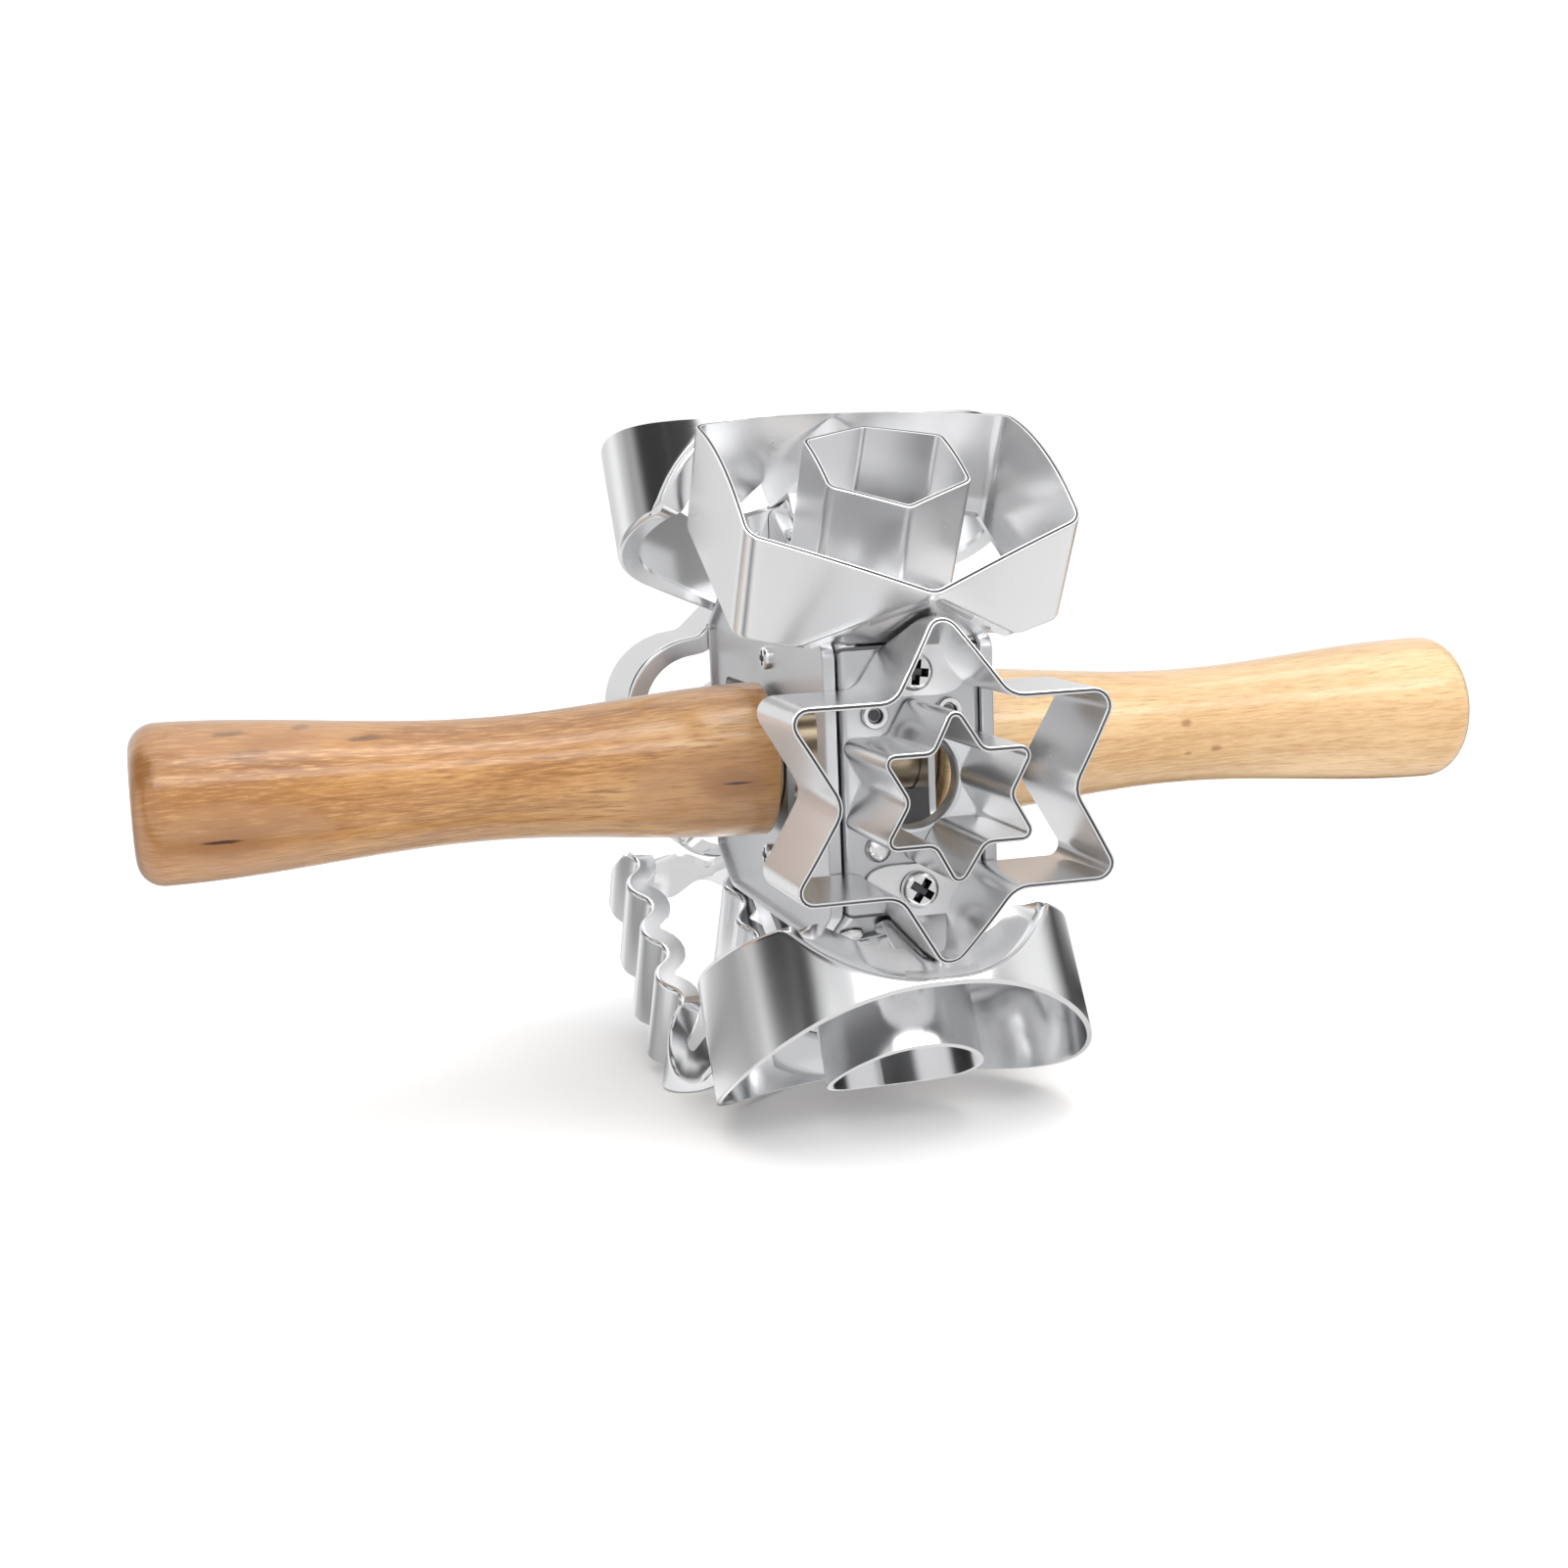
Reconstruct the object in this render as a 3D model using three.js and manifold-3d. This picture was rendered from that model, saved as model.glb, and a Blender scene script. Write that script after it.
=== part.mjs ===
// Doughnut cutter roller: six shaped cutters round a hub that turns on a rod between two wooden handles.
// Millimetres, +Z up. X runs along the rod, the star cutter faces -Y, and the origin is the rod's middle.

import * as THREE from 'three';
import { mergeVertices } from 'three/addons/utils/BufferGeometryUtils.js';
import Module from 'manifold-3d';

const wasm = await Module();
wasm.setup();

// Fits
const seatGap = 0.3;
const runningGap = 0.3;
const cellClearance = 0.4;

// Roller: every cutting edge lies on one rolling cylinder
const rollingRadius = 72;
const tipGap = 1.1;

// Cutter bands
const bandWall = 1.1;
const flangeThickness = 1.1;
const outerFlange = 4.5;
const innerFlange = 3.2;

// Outlines, as they print on rolled-out dough: x along the rod, v along the rolling direction
const innerReach = 16.2;
const starTipGap = 3.6;
const starTipRounding = 3.4;
const starNotchRounding = 4.5;
const starStretch = 1.05;
const innerStarRounding = 2;
const hexagonHalfWidth = 33.8;
const hexagonSideHalf = 19.4;
const hexagonRounding = 3;
const innerHexagonHalfWidth = 14.8;
const innerHexagonSideHalf = 8.2;
const innerHexagonRounding = 1.6;
const ringHalfWidth = 39;
const heartHalfWidth = 44;
const heartLobeRadius = 25;
const heartTipRounding = 3;
const heartCleftRounding = 4;
const innerHeartHalfWidth = 18;
const innerHeartLobeRadius = 9.4;
const innerHeartTipRounding = 1.8;
const innerHeartCleftRounding = 2;
const petalCount = 5;
const petalRadius = 17.4;
const petalNotchRounding = 3;
const flowerStretch = 1.1;
const innerPetalRadius = 7.6;
const innerPetalNotchRounding = 1.6;
const scallopHalfWidth = 41.5;
const scallopLobeRadius = 5.6;
const scallopHollowRadius = 3.9;
const scallopLobesPerSide = 4;
const innerScallopHalfWidth = 19.3;
const innerScallopLobeRadius = 4;
const innerScallopHollowRadius = 3.4;
const innerScallopLobesPerSide = 2;

// Screws that hold each outer band to its bridge, between the inner band and the fold of the cell
const screwGap = 1.4;
const screwRoom = 0.4;
const screwHeadRadius = 3.8;
const screwHeadHeight = 2.2;
const screwEdgeHeight = 1;
const screwCrownRadius = 2.85;
const screwShankRadius = 1.9;
const screwLength = 6;
const crossSlotLength = 4.2;
const crossSlotWidth = 1;
const crossSlotDepth = 1.3;
const tongueMargin = 0.6;

// Rivets round each inner band, in from the bridge's edge
const rivetGap = 1.5;
const rivetEdge = 3.3;
const closeRivetEdge = 6.9;
const rivetHeadRadius = 2.6;
const rivetCrownRadius = 1.55;
const rivetHeadHeight = 1.5;
const rivetShankRadius = 1.2;
const rivetLength = 3;

// Bridges: a channel under each cutter, with its sides turned towards the rod
const bridgeHalfWidth = 14.5;
const bridgeSheet = 1.2;
const bridgeSideDepth = 8.6;
const bridgeBendRadius = 2.5;
const bridgeHoleRadius = 9.5;

// Hub end plates
const plateSheet = 1.5;
const plateInset = 0.5;
const plateCropHeight = 34;
const plateCornerRounding = 3;
const lipWidth = 1.3;
const lipHeight = 1.2;
const windowWeb = 4.2;
const windowBorder = 9.2;
const windowHalfHeight = 14.5;
const windowRounding = 3.5;

// Rod and bearing sleeve
const rodRadius = 5;
const rodHalfLength = 80;
const sleeveWall = 3.7;
const collarStep = 3;
const collarThickness = 1;

// Handles
const handleEndX = 147;
const handleEndRadius = 16.25;
const handleEndRounding = 5.5;
const handleWaistX = 78;
const handleWaistRadius = 12.75;
const handleShoulderRadius = 16.3;
const handleShoulderRounding = 2.2;

// Facets
const arcSag = 0.4;
const rimSegments = 6;
const bendSegments = 2;
const handleSides = 18;
const roundingSteps = 2;
const swellSteps = 5;
const boreSides = 16;
const screwSides = 8;
const rivetSides = 6;
const sharpCorner = 0.4;
const leastRun = 0.1;
const outlineSamples = 240;

// What follows from the sizes above
const cutterTotal = 6;
const cellHalfAngle = Math.PI / cutterTotal;
const outlineReach = rollingRadius * cellHalfAngle - tipGap;
const starReach = rollingRadius * cellHalfAngle - starTipGap;
const screwOffset = innerReach + screwGap + screwHeadRadius;
const foldClearance = cellClearance + flangeThickness;
const screwReach = screwOffset + screwHeadRadius + screwRoom + foldClearance / Math.cos(cellHalfAngle);
const screwSeat = screwReach / Math.tan(cellHalfAngle);
const flangeTop = screwSeat - seatGap;
const bandFoot = flangeTop - flangeThickness;
const tongueHalfWidth = screwHeadRadius + tongueMargin;
const bridgeTop = bandFoot - seatGap;
const bridgeFoot = bridgeTop - bridgeSideDepth;
const plateInnerX = bridgeHalfWidth + seatGap;
const plateOuterX = plateInnerX + plateSheet;
const plateApothem = bridgeTop - plateInset;
const sleeveBore = rodRadius + runningGap;
const sleeveRadius = sleeveBore + sleeveWall;
const collarRadius = sleeveRadius + collarStep;
const windowNear = sleeveRadius + seatGap + windowWeb;
const windowFar = plateApothem - windowBorder;
const collarInnerX = plateOuterX + seatGap;
const collarOuterX = collarInnerX + collarThickness;
const handleInnerX = collarOuterX + seatGap;
const beyond = rollingRadius * 2;

const steel = { color: 0xc9cbce, metalness: 1, roughness: 0.28 };
const brightSteel = { color: 0xdfe1e4, metalness: 1, roughness: 0.18 };
const bearing = { color: 0xb9985a, metalness: 0.9, roughness: 0.4 };
const honeyWood = { color: 0xc48d52, metalness: 0, roughness: 0.42 };
const paleWood = { color: 0xe0b878, metalness: 0, roughness: 0.42 };

// Solids

function toSolid(geometry) {
  const bare = geometry.clone();
  bare.deleteAttribute('normal');
  bare.deleteAttribute('uv');
  const merged = mergeVertices(bare, 1e-4);
  const corners = merged.index.array;
  const kept = [];
  for (let i = 0; i < corners.length; i += 3) {
    const [a, b, c] = [corners[i], corners[i + 1], corners[i + 2]];
    if (a !== b && b !== c && c !== a) kept.push(a, b, c);
  }
  const vertProperties = merged.attributes.position.array;
  const triVerts = Uint32Array.from(kept);
  return new wasm.Manifold(new wasm.Mesh({ numProp: 3, vertProperties, triVerts }));
}

function toGeometry(solid) {
  const mesh = solid.getMesh();
  const geometry = new THREE.BufferGeometry();
  geometry.setAttribute('position', new THREE.BufferAttribute(mesh.vertProperties, 3));
  geometry.setIndex(new THREE.BufferAttribute(mesh.triVerts, 1));
  geometry.computeVertexNormals();
  return geometry;
}

function prism(shape, from, to) {
  const settings = { depth: to - from, bevelEnabled: false, curveSegments: bendSegments };
  return new THREE.ExtrudeGeometry(shape, settings).translate(0, 0, from);
}

// A profile drawn in (y, z), drawn out along X
function alongX(shape, from, to, curveSegments = bendSegments) {
  const geometry = new THREE.ExtrudeGeometry(shape, { depth: to - from, bevelEnabled: false, curveSegments });
  const basis = new THREE.Matrix4().makeBasis(
    new THREE.Vector3(0, 1, 0),
    new THREE.Vector3(0, 0, 1),
    new THREE.Vector3(1, 0, 0),
  );
  return geometry.translate(0, 0, from).applyMatrix4(basis);
}

function pin(radius, sides, from, to) {
  const geometry = new THREE.CylinderGeometry(radius, radius, to - from, sides);
  return geometry.rotateX(Math.PI / 2).translate(0, 0, (from + to) / 2);
}

function turned(profile, sides) {
  return new THREE.LatheGeometry(profile.map(([radius, height]) => new THREE.Vector2(radius, height)), sides);
}

// Outlines

// A closed outline drawn as a belt round pulleys [x, v, radius], anticlockwise. A pulley with a negative
// radius stands outside the belt and makes a hollow corner. The inset draws the belt in by a wall's width.
function beltPoints(pulleys, inset) {
  const rollers = pulleys.map(([x, v, radius]) => {
    const drawnIn = radius > 0 ? Math.max(radius - inset, sharpCorner) : radius - inset;
    return { x, v, radius: drawnIn };
  });
  const headings = rollers.map((roller, i) => {
    const next = rollers[(i + 1) % rollers.length];
    const run = new THREE.Vector2(next.x - roller.x, next.v - roller.v);
    const lean = THREE.MathUtils.clamp((next.radius - roller.radius) / run.length(), -1, 1);
    return Math.atan2(run.y, run.x) - Math.asin(lean);
  });
  const points = [];
  rollers.forEach((roller, i) => {
    const arrival = headings[(i + rollers.length - 1) % rollers.length];
    let turn = THREE.MathUtils.euclideanModulo(headings[i] - arrival, 2 * Math.PI);
    if (roller.radius < 0) turn -= 2 * Math.PI;
    const arcStep = 2 * Math.acos(1 - Math.min(arcSag / Math.abs(roller.radius), 1));
    const steps = Math.max(1, Math.ceil(Math.abs(turn) / arcStep));
    for (let k = 0; k <= steps; k += 1) {
      const heading = arrival + (turn * k) / steps;
      const x = roller.x + roller.radius * Math.sin(heading);
      const v = roller.v - roller.radius * Math.cos(heading);
      points.push(new THREE.Vector2(x, v));
    }
  });
  return points;
}

// The same outline on the cutter, whose rim is bent to the rolling cylinder
function rolledPoints(pulleys, inset) {
  const bend = (v) => rollingRadius * Math.sin(v / rollingRadius);
  return beltPoints(pulleys, inset).map((point) => new THREE.Vector2(point.x, bend(point.y)));
}

function polar(radius, angle) {
  return [radius * Math.cos(angle), radius * Math.sin(angle)];
}

function stretched(pulleys, stretch) {
  return pulleys.map(([x, v, radius]) => [x * stretch, v, radius]);
}

function starBelt(reach, tipRounding, notchRounding) {
  const points = 6;
  const sharpTip = reach + tipRounding;
  const tipCentre = sharpTip - 2 * tipRounding;
  const notchCentre = sharpTip / Math.sqrt(3) + notchRounding / Math.sin(Math.PI / 3);
  const pulleys = [];
  for (let i = 0; i < points; i += 1) {
    const angle = Math.PI / 2 + (i * 2 * Math.PI) / points;
    pulleys.push([...polar(tipCentre, angle), tipRounding]);
    pulleys.push([...polar(notchCentre, angle + Math.PI / points), -notchRounding]);
  }
  return pulleys;
}

function hexagonBelt(halfWidth, reach, sideHalf, rounding) {
  const sideX = halfWidth - rounding;
  const pointV = reach - rounding;
  const places = [
    [0, pointV],
    [-sideX, sideHalf],
    [-sideX, -sideHalf],
    [0, -pointV],
    [sideX, -sideHalf],
    [sideX, sideHalf],
  ];
  return places.map((place) => [...place, rounding]);
}

function ringBelt(halfWidth, reach) {
  const stretch = Math.max(halfWidth - reach, leastRun);
  return [[-stretch, 0, reach], [stretch, 0, reach]];
}

// The lobes point to -v and the tip to +v
function heartBelt(halfWidth, reach, lobeRadius, tipRounding, cleftRounding) {
  const lobeX = halfWidth - lobeRadius;
  const lobeV = lobeRadius - reach;
  const cleftDrop = Math.sqrt((lobeRadius + cleftRounding) ** 2 - lobeX ** 2);
  const tip = [0, reach - tipRounding, tipRounding];
  const cleft = [0, lobeV - cleftDrop - leastRun, -cleftRounding];
  return [tip, [-lobeX, lobeV, lobeRadius], cleft, [lobeX, lobeV, lobeRadius]];
}

// One petal points to -v
function flowerBelt(reach, radius, notchRounding) {
  const centre = reach - radius;
  const halfStep = Math.PI / petalCount;
  const halfChord = centre * Math.sin(halfStep);
  const notchHeight = Math.sqrt((radius + notchRounding) ** 2 - halfChord ** 2);
  const notchCentre = centre * Math.cos(halfStep) + notchHeight + leastRun;
  const pulleys = [];
  for (let i = 0; i < petalCount; i += 1) {
    const angle = -Math.PI / 2 + 2 * i * halfStep;
    pulleys.push([...polar(centre, angle), radius]);
    pulleys.push([...polar(notchCentre, angle + halfStep), -notchRounding]);
  }
  return pulleys;
}

function scallopBelt(halfWidth, reach, lobeRadius, hollowRadius, lobesPerSide) {
  const lobeX = halfWidth - lobeRadius;
  const lobeV = reach - lobeRadius;
  const pitch = Math.min(lobeX, lobeV) / lobesPerSide;
  const hollowOut = Math.sqrt(Math.max((lobeRadius + hollowRadius) ** 2 - pitch ** 2, 0)) + leastRun;
  const corners = [[1, -1], [1, 1], [-1, 1], [-1, -1]];
  const pulleys = [];
  corners.forEach(([cornerX, cornerV], side) => {
    const [nextX, nextV] = corners[(side + 1) % corners.length];
    const outward = polar(hollowOut, (side * Math.PI) / 2);
    for (let k = 0; k < lobesPerSide; k += 1) {
      const along = (share) => [
        lobeX * THREE.MathUtils.lerp(cornerX, nextX, share),
        lobeV * THREE.MathUtils.lerp(cornerV, nextV, share),
      ];
      const [hollowX, hollowV] = along((k + 0.5) / lobesPerSide);
      pulleys.push([...along(k / lobesPerSide), lobeRadius]);
      pulleys.push([hollowX + outward[0], hollowV + outward[1], -hollowRadius]);
    }
  });
  return pulleys;
}

// The space of one cutter: between the planes it shares with its neighbours, from the foot to the rim

function sidePoint(height, clearance) {
  return new THREE.Vector2(height * Math.tan(cellHalfAngle) - clearance / Math.cos(cellHalfAngle), height);
}

function rimPoint(clearance) {
  const run = Math.sqrt(rollingRadius ** 2 - clearance ** 2);
  const along = new THREE.Vector2(Math.sin(cellHalfAngle), Math.cos(cellHalfAngle));
  const inwards = new THREE.Vector2(-along.y, along.x);
  return along.multiplyScalar(run).add(inwards.multiplyScalar(clearance));
}

const mirrored = (point) => new THREE.Vector2(-point.x, point.y);

function cellSolid() {
  const foot = sidePoint(bandFoot, cellClearance);
  const rim = rimPoint(cellClearance);
  const profile = new THREE.Shape();
  profile.moveTo(-foot.x, foot.y);
  profile.lineTo(foot.x, foot.y);
  profile.lineTo(rim.x, rim.y);
  const rimAngle = Math.atan2(rim.y, rim.x);
  profile.absarc(0, 0, rollingRadius, rimAngle, Math.PI - rimAngle, false);
  profile.closePath();
  return toSolid(alongX(profile, -beyond, beyond, rimSegments));
}

// A folded sheet along the foot of the space and up both its sides, which the flanges are cut from
function traySolid() {
  const outside = [rimPoint(cellClearance), sidePoint(bandFoot, cellClearance)];
  const inside = [sidePoint(flangeTop, foldClearance), rimPoint(foldClearance)];
  const around = [...outside.map(mirrored), ...outside.toReversed()];
  const back = [...inside.toReversed(), ...inside.map(mirrored)];
  return toSolid(alongX(new THREE.Shape([...around, ...back]), -beyond, beyond));
}

const cell = cellSolid();
const tray = traySolid();

function outlineSolid(pulleys, inset) {
  return toSolid(prism(new THREE.Shape(rolledPoints(pulleys, inset)), 0, beyond));
}

function tongueSolid(side) {
  const shape = new THREE.Shape();
  shape.moveTo(tongueHalfWidth, rollingRadius);
  shape.lineTo(-tongueHalfWidth, rollingRadius);
  shape.lineTo(-tongueHalfWidth, screwOffset);
  shape.absarc(0, screwOffset, tongueHalfWidth, Math.PI, 2 * Math.PI, false);
  return toSolid(prism(shape, 0, beyond).rotateZ(side > 0 ? 0 : Math.PI));
}

function bandSolid(pulleys, flangeWidth) {
  const outline = outlineSolid(pulleys, 0);
  const wall = outline.subtract(outlineSolid(pulleys, bandWall)).intersect(cell);
  const floor = outline.intersect(tray);
  return { wall, floor, opening: outlineSolid(pulleys, flangeWidth) };
}

// The flange has a tongue under each screw, and is cut back where a rivet's head comes close
function outerBand(pulleys, rivetPlaces) {
  const { wall, floor, opening } = bandSolid(pulleys, outerFlange);
  let cut = opening;
  for (const side of [1, -1]) cut = cut.subtract(tongueSolid(side));
  for (const side of [1, -1]) cut = cut.add(screwHole(side));
  for (const [x, y] of rivetPlaces) cut = cut.add(hole(rivetHeadRadius + seatGap, rivetSides, x, y));
  return toGeometry(wall.add(floor.subtract(cut)));
}

function innerBand(pulleys) {
  const { wall, floor, opening } = bandSolid(pulleys, innerFlange);
  return toGeometry(wall.add(floor.subtract(opening)));
}

function hole(radius, sides, x, y) {
  return toSolid(pin(radius, sides, 0, beyond).translate(x, y, 0));
}

function screwHole(side) {
  return hole(screwShankRadius + seatGap, screwSides, 0, side * screwOffset);
}

// The four places round an inner band where a rivet's head clears it
function rivetsRound(pulleys, edge) {
  const reach = rivetHeadRadius + rivetGap;
  const rivetX = bridgeHalfWidth - edge;
  const outline = new THREE.Path(rolledPoints(pulleys, 0)).closePath().getSpacedPoints(outlineSamples);
  const clearOf = (side) => {
    const near = outline.filter((point) => Math.abs(point.x - rivetX) < reach);
    const heights = near.map((point) => side * point.y + Math.sqrt(reach ** 2 - (point.x - rivetX) ** 2));
    return side * Math.max(...heights);
  };
  return [1, -1].flatMap((side) => [[-rivetX, clearOf(side)], [rivetX, clearOf(side)]]);
}

function bridge(rivetPlaces) {
  const bend = bridgeBendRadius;
  const inner = bend - bridgeSheet;
  const profile = new THREE.Shape();
  profile.moveTo(bridgeHalfWidth, bridgeFoot);
  profile.absarc(bridgeHalfWidth - bend, bridgeTop - bend, bend, 0, Math.PI / 2, false);
  profile.absarc(bend - bridgeHalfWidth, bridgeTop - bend, bend, Math.PI / 2, Math.PI, false);
  profile.lineTo(-bridgeHalfWidth, bridgeFoot);
  profile.lineTo(bridgeSheet - bridgeHalfWidth, bridgeFoot);
  profile.absarc(bend - bridgeHalfWidth, bridgeTop - bend, inner, Math.PI, Math.PI / 2, true);
  profile.absarc(bridgeHalfWidth - bend, bridgeTop - bend, inner, Math.PI / 2, 0, true);
  profile.lineTo(bridgeHalfWidth - bridgeSheet, bridgeFoot);
  profile.closePath();
  const channel = prism(profile, -rollingRadius, rollingRadius).rotateX(Math.PI / 2);
  const low = sidePoint(bridgeFoot - bridgeSheet, cellClearance);
  const high = sidePoint(bandFoot, cellClearance);
  const mitre = new THREE.Shape([mirrored(low), low, high, mirrored(high)]);
  let solid = toSolid(channel).intersect(toSolid(alongX(mitre, -beyond, beyond)));
  solid = solid.subtract(hole(bridgeHoleRadius, boreSides, 0, 0));
  for (const side of [1, -1]) solid = solid.subtract(screwHole(side));
  for (const [x, y] of rivetPlaces) {
    solid = solid.subtract(hole(rivetShankRadius + seatGap, rivetSides, x, y));
  }
  return toGeometry(solid);
}

function screw() {
  const crown = screwSeat + screwHeadHeight;
  const profile = [
    [0, screwSeat - screwLength],
    [screwShankRadius, screwSeat - screwLength],
    [screwShankRadius, screwSeat],
    [screwHeadRadius, screwSeat],
    [screwHeadRadius, screwSeat + screwEdgeHeight],
    [screwCrownRadius, crown],
    [0, crown],
  ];
  let solid = toSolid(turned(profile, screwSides).rotateX(Math.PI / 2));
  for (const turn of [0, Math.PI / 2]) {
    const slot = new THREE.BoxGeometry(crossSlotLength, crossSlotWidth, 2 * crossSlotDepth);
    solid = solid.subtract(toSolid(slot.rotateZ(turn).translate(0, 0, crown)));
  }
  return toGeometry(solid);
}

function rivet() {
  const seat = bridgeTop + seatGap;
  const profile = [
    [0, seat - rivetLength],
    [rivetShankRadius, seat - rivetLength],
    [rivetShankRadius, seat],
    [rivetHeadRadius, seat],
    [rivetCrownRadius, seat + rivetHeadHeight],
    [0, seat + rivetHeadHeight],
  ];
  return turned(profile, rivetSides).rotateX(Math.PI / 2);
}

// Hub

function plateCorners() {
  const cropHalf = (plateApothem - plateCropHeight * Math.sin(cellHalfAngle)) / Math.cos(cellHalfAngle);
  const shoulder = plateApothem * Math.tan(cellHalfAngle);
  return [
    [plateApothem, -shoulder],
    [plateApothem, shoulder],
    [cropHalf, plateCropHeight],
    [-cropHalf, plateCropHeight],
    [-plateApothem, shoulder],
    [-plateApothem, -shoulder],
    [-cropHalf, -plateCropHeight],
    [cropHalf, -plateCropHeight],
  ];
}

// A convex outline with its corners rounded, drawn in by an inset
function roundedOutline(corners, rounding, inset) {
  const pulleys = corners.map(([x, y], i) => {
    const here = new THREE.Vector2(x, y);
    const last = corners[(i + corners.length - 1) % corners.length];
    const next = corners[(i + 1) % corners.length];
    const before = new THREE.Vector2(...last).sub(here).normalize();
    const after = new THREE.Vector2(...next).sub(here).normalize();
    const halfAngle = Math.acos(before.dot(after)) / 2;
    const centre = before.add(after).normalize().multiplyScalar(rounding / Math.sin(halfAngle)).add(here);
    return [centre.x, centre.y, rounding];
  });
  return beltPoints(pulleys, inset);
}

function windowOutline(side) {
  const near = side > 0 ? windowNear : -windowFar;
  const far = side > 0 ? windowFar : -windowNear;
  const corners = [
    [near, -windowHalfHeight],
    [far, -windowHalfHeight],
    [far, windowHalfHeight],
    [near, windowHalfHeight],
  ];
  return new THREE.Path(roundedOutline(corners, windowRounding, 0));
}

function roundPath(radius, sides) {
  const points = Array.from({ length: sides }, (unused, i) => polar(radius, (2 * Math.PI * i) / sides));
  return new THREE.Path(points.map(([x, y]) => new THREE.Vector2(x, y)));
}

function endPlate() {
  const corners = plateCorners();
  const border = roundedOutline(corners, plateCornerRounding, 0);
  const sheet = new THREE.Shape(border);
  sheet.holes.push(roundPath(sleeveRadius + seatGap, boreSides), windowOutline(1), windowOutline(-1));
  const lip = new THREE.Shape(border);
  lip.holes.push(new THREE.Path(roundedOutline(corners, plateCornerRounding, lipWidth)));
  const plate = toSolid(alongX(sheet, plateInnerX, plateOuterX));
  return toGeometry(plate.add(toSolid(alongX(lip, plateInnerX, plateOuterX + lipHeight))));
}

function bearingSleeve() {
  const profile = [
    [sleeveBore, -collarOuterX],
    [collarRadius, -collarOuterX],
    [collarRadius, -collarInnerX],
    [sleeveRadius, -collarInnerX],
    [sleeveRadius, collarInnerX],
    [collarRadius, collarInnerX],
    [collarRadius, collarOuterX],
    [sleeveBore, collarOuterX],
    [sleeveBore, -collarOuterX],
  ];
  return turned(profile, boreSides).rotateZ(-Math.PI / 2);
}

function axleRod() {
  const profile = [
    [0, -rodHalfLength],
    [rodRadius, -rodHalfLength],
    [rodRadius, rodHalfLength],
    [0, rodHalfLength],
  ];
  return turned(profile, boreSides).rotateZ(-Math.PI / 2);
}

// A waisted turning, blind-bored for the rod at its inner end
function handle() {
  const bore = rodRadius + seatGap;
  const boreEnd = rodHalfLength + seatGap;
  const shoulderX = handleInnerX + handleShoulderRounding;
  const endX = handleEndX - handleEndRounding;
  const profile = [[0, boreEnd], [bore, boreEnd], [bore, handleInnerX]];
  for (let k = 0; k <= roundingSteps; k += 1) {
    const [out, along] = polar(handleShoulderRounding, (k * Math.PI) / (2 * roundingSteps));
    profile.push([handleShoulderRadius - handleShoulderRounding + along, shoulderX - out]);
  }
  const ease = (share) => (1 - Math.cos(Math.PI * share)) / 2;
  for (let k = 1; k <= swellSteps; k += 1) {
    const share = k / swellSteps;
    const radius = THREE.MathUtils.lerp(handleShoulderRadius, handleWaistRadius, ease(share));
    profile.push([radius, THREE.MathUtils.lerp(shoulderX, handleWaistX, share)]);
  }
  for (let k = 1; k <= swellSteps; k += 1) {
    const share = k / swellSteps;
    const radius = THREE.MathUtils.lerp(handleWaistRadius, handleEndRadius, ease(share));
    profile.push([radius, THREE.MathUtils.lerp(handleWaistX, endX, share)]);
  }
  for (let k = 1; k <= roundingSteps; k += 1) {
    const [along, out] = polar(handleEndRounding, (k * Math.PI) / (2 * roundingSteps));
    profile.push([handleEndRadius - handleEndRounding + along, endX + out]);
  }
  profile.push([0, handleEndX]);
  return turned(profile, handleSides).rotateZ(-Math.PI / 2);
}

// Assembly

function addPiece(parent, name, geometry, finish) {
  const mesh = new THREE.Mesh(geometry, new THREE.MeshStandardMaterial(finish));
  mesh.name = name;
  parent.add(mesh);
  return mesh;
}

const scallopOuter = [
  scallopHalfWidth,
  outlineReach,
  scallopLobeRadius,
  scallopHollowRadius,
  scallopLobesPerSide,
];
const scallopInner = [
  innerScallopHalfWidth,
  innerReach,
  innerScallopLobeRadius,
  innerScallopHollowRadius,
  innerScallopLobesPerSide,
];
const hexagonInner = [innerHexagonHalfWidth, innerReach, innerHexagonSideHalf, innerHexagonRounding];
const heartOuter = [heartHalfWidth, outlineReach, heartLobeRadius, heartTipRounding, heartCleftRounding];
const heartInner = [
  innerHeartHalfWidth,
  innerReach,
  innerHeartLobeRadius,
  innerHeartTipRounding,
  innerHeartCleftRounding,
];

// In order round the roller, from the front upwards
const cutters = [
  {
    name: 'star',
    outer: stretched(starBelt(starReach, starTipRounding, starNotchRounding), starStretch),
    inner: starBelt(innerReach, innerStarRounding, innerStarRounding),
    rivetEdge: closeRivetEdge,
  },
  {
    name: 'hexagon',
    outer: hexagonBelt(hexagonHalfWidth, outlineReach, hexagonSideHalf, hexagonRounding),
    inner: hexagonBelt(...hexagonInner),
    rivetEdge,
  },
  {
    name: 'heart',
    outer: heartBelt(...heartOuter),
    inner: heartBelt(...heartInner),
    rivetEdge: closeRivetEdge,
  },
  {
    name: 'flower',
    outer: stretched(flowerBelt(outlineReach, petalRadius, petalNotchRounding), flowerStretch),
    inner: flowerBelt(innerReach, innerPetalRadius, innerPetalNotchRounding),
    rivetEdge,
  },
  {
    name: 'scallop',
    outer: scallopBelt(...scallopOuter),
    inner: scallopBelt(...scallopInner),
    rivetEdge,
  },
  {
    name: 'ring',
    outer: ringBelt(ringHalfWidth, outlineReach),
    inner: ringBelt(innerReach, innerReach),
    rivetEdge,
  },
];

const doughnutCutter = new THREE.Group();
const holder = new THREE.Group();
const roller = new THREE.Group();
doughnutCutter.add(holder, roller);

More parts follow.
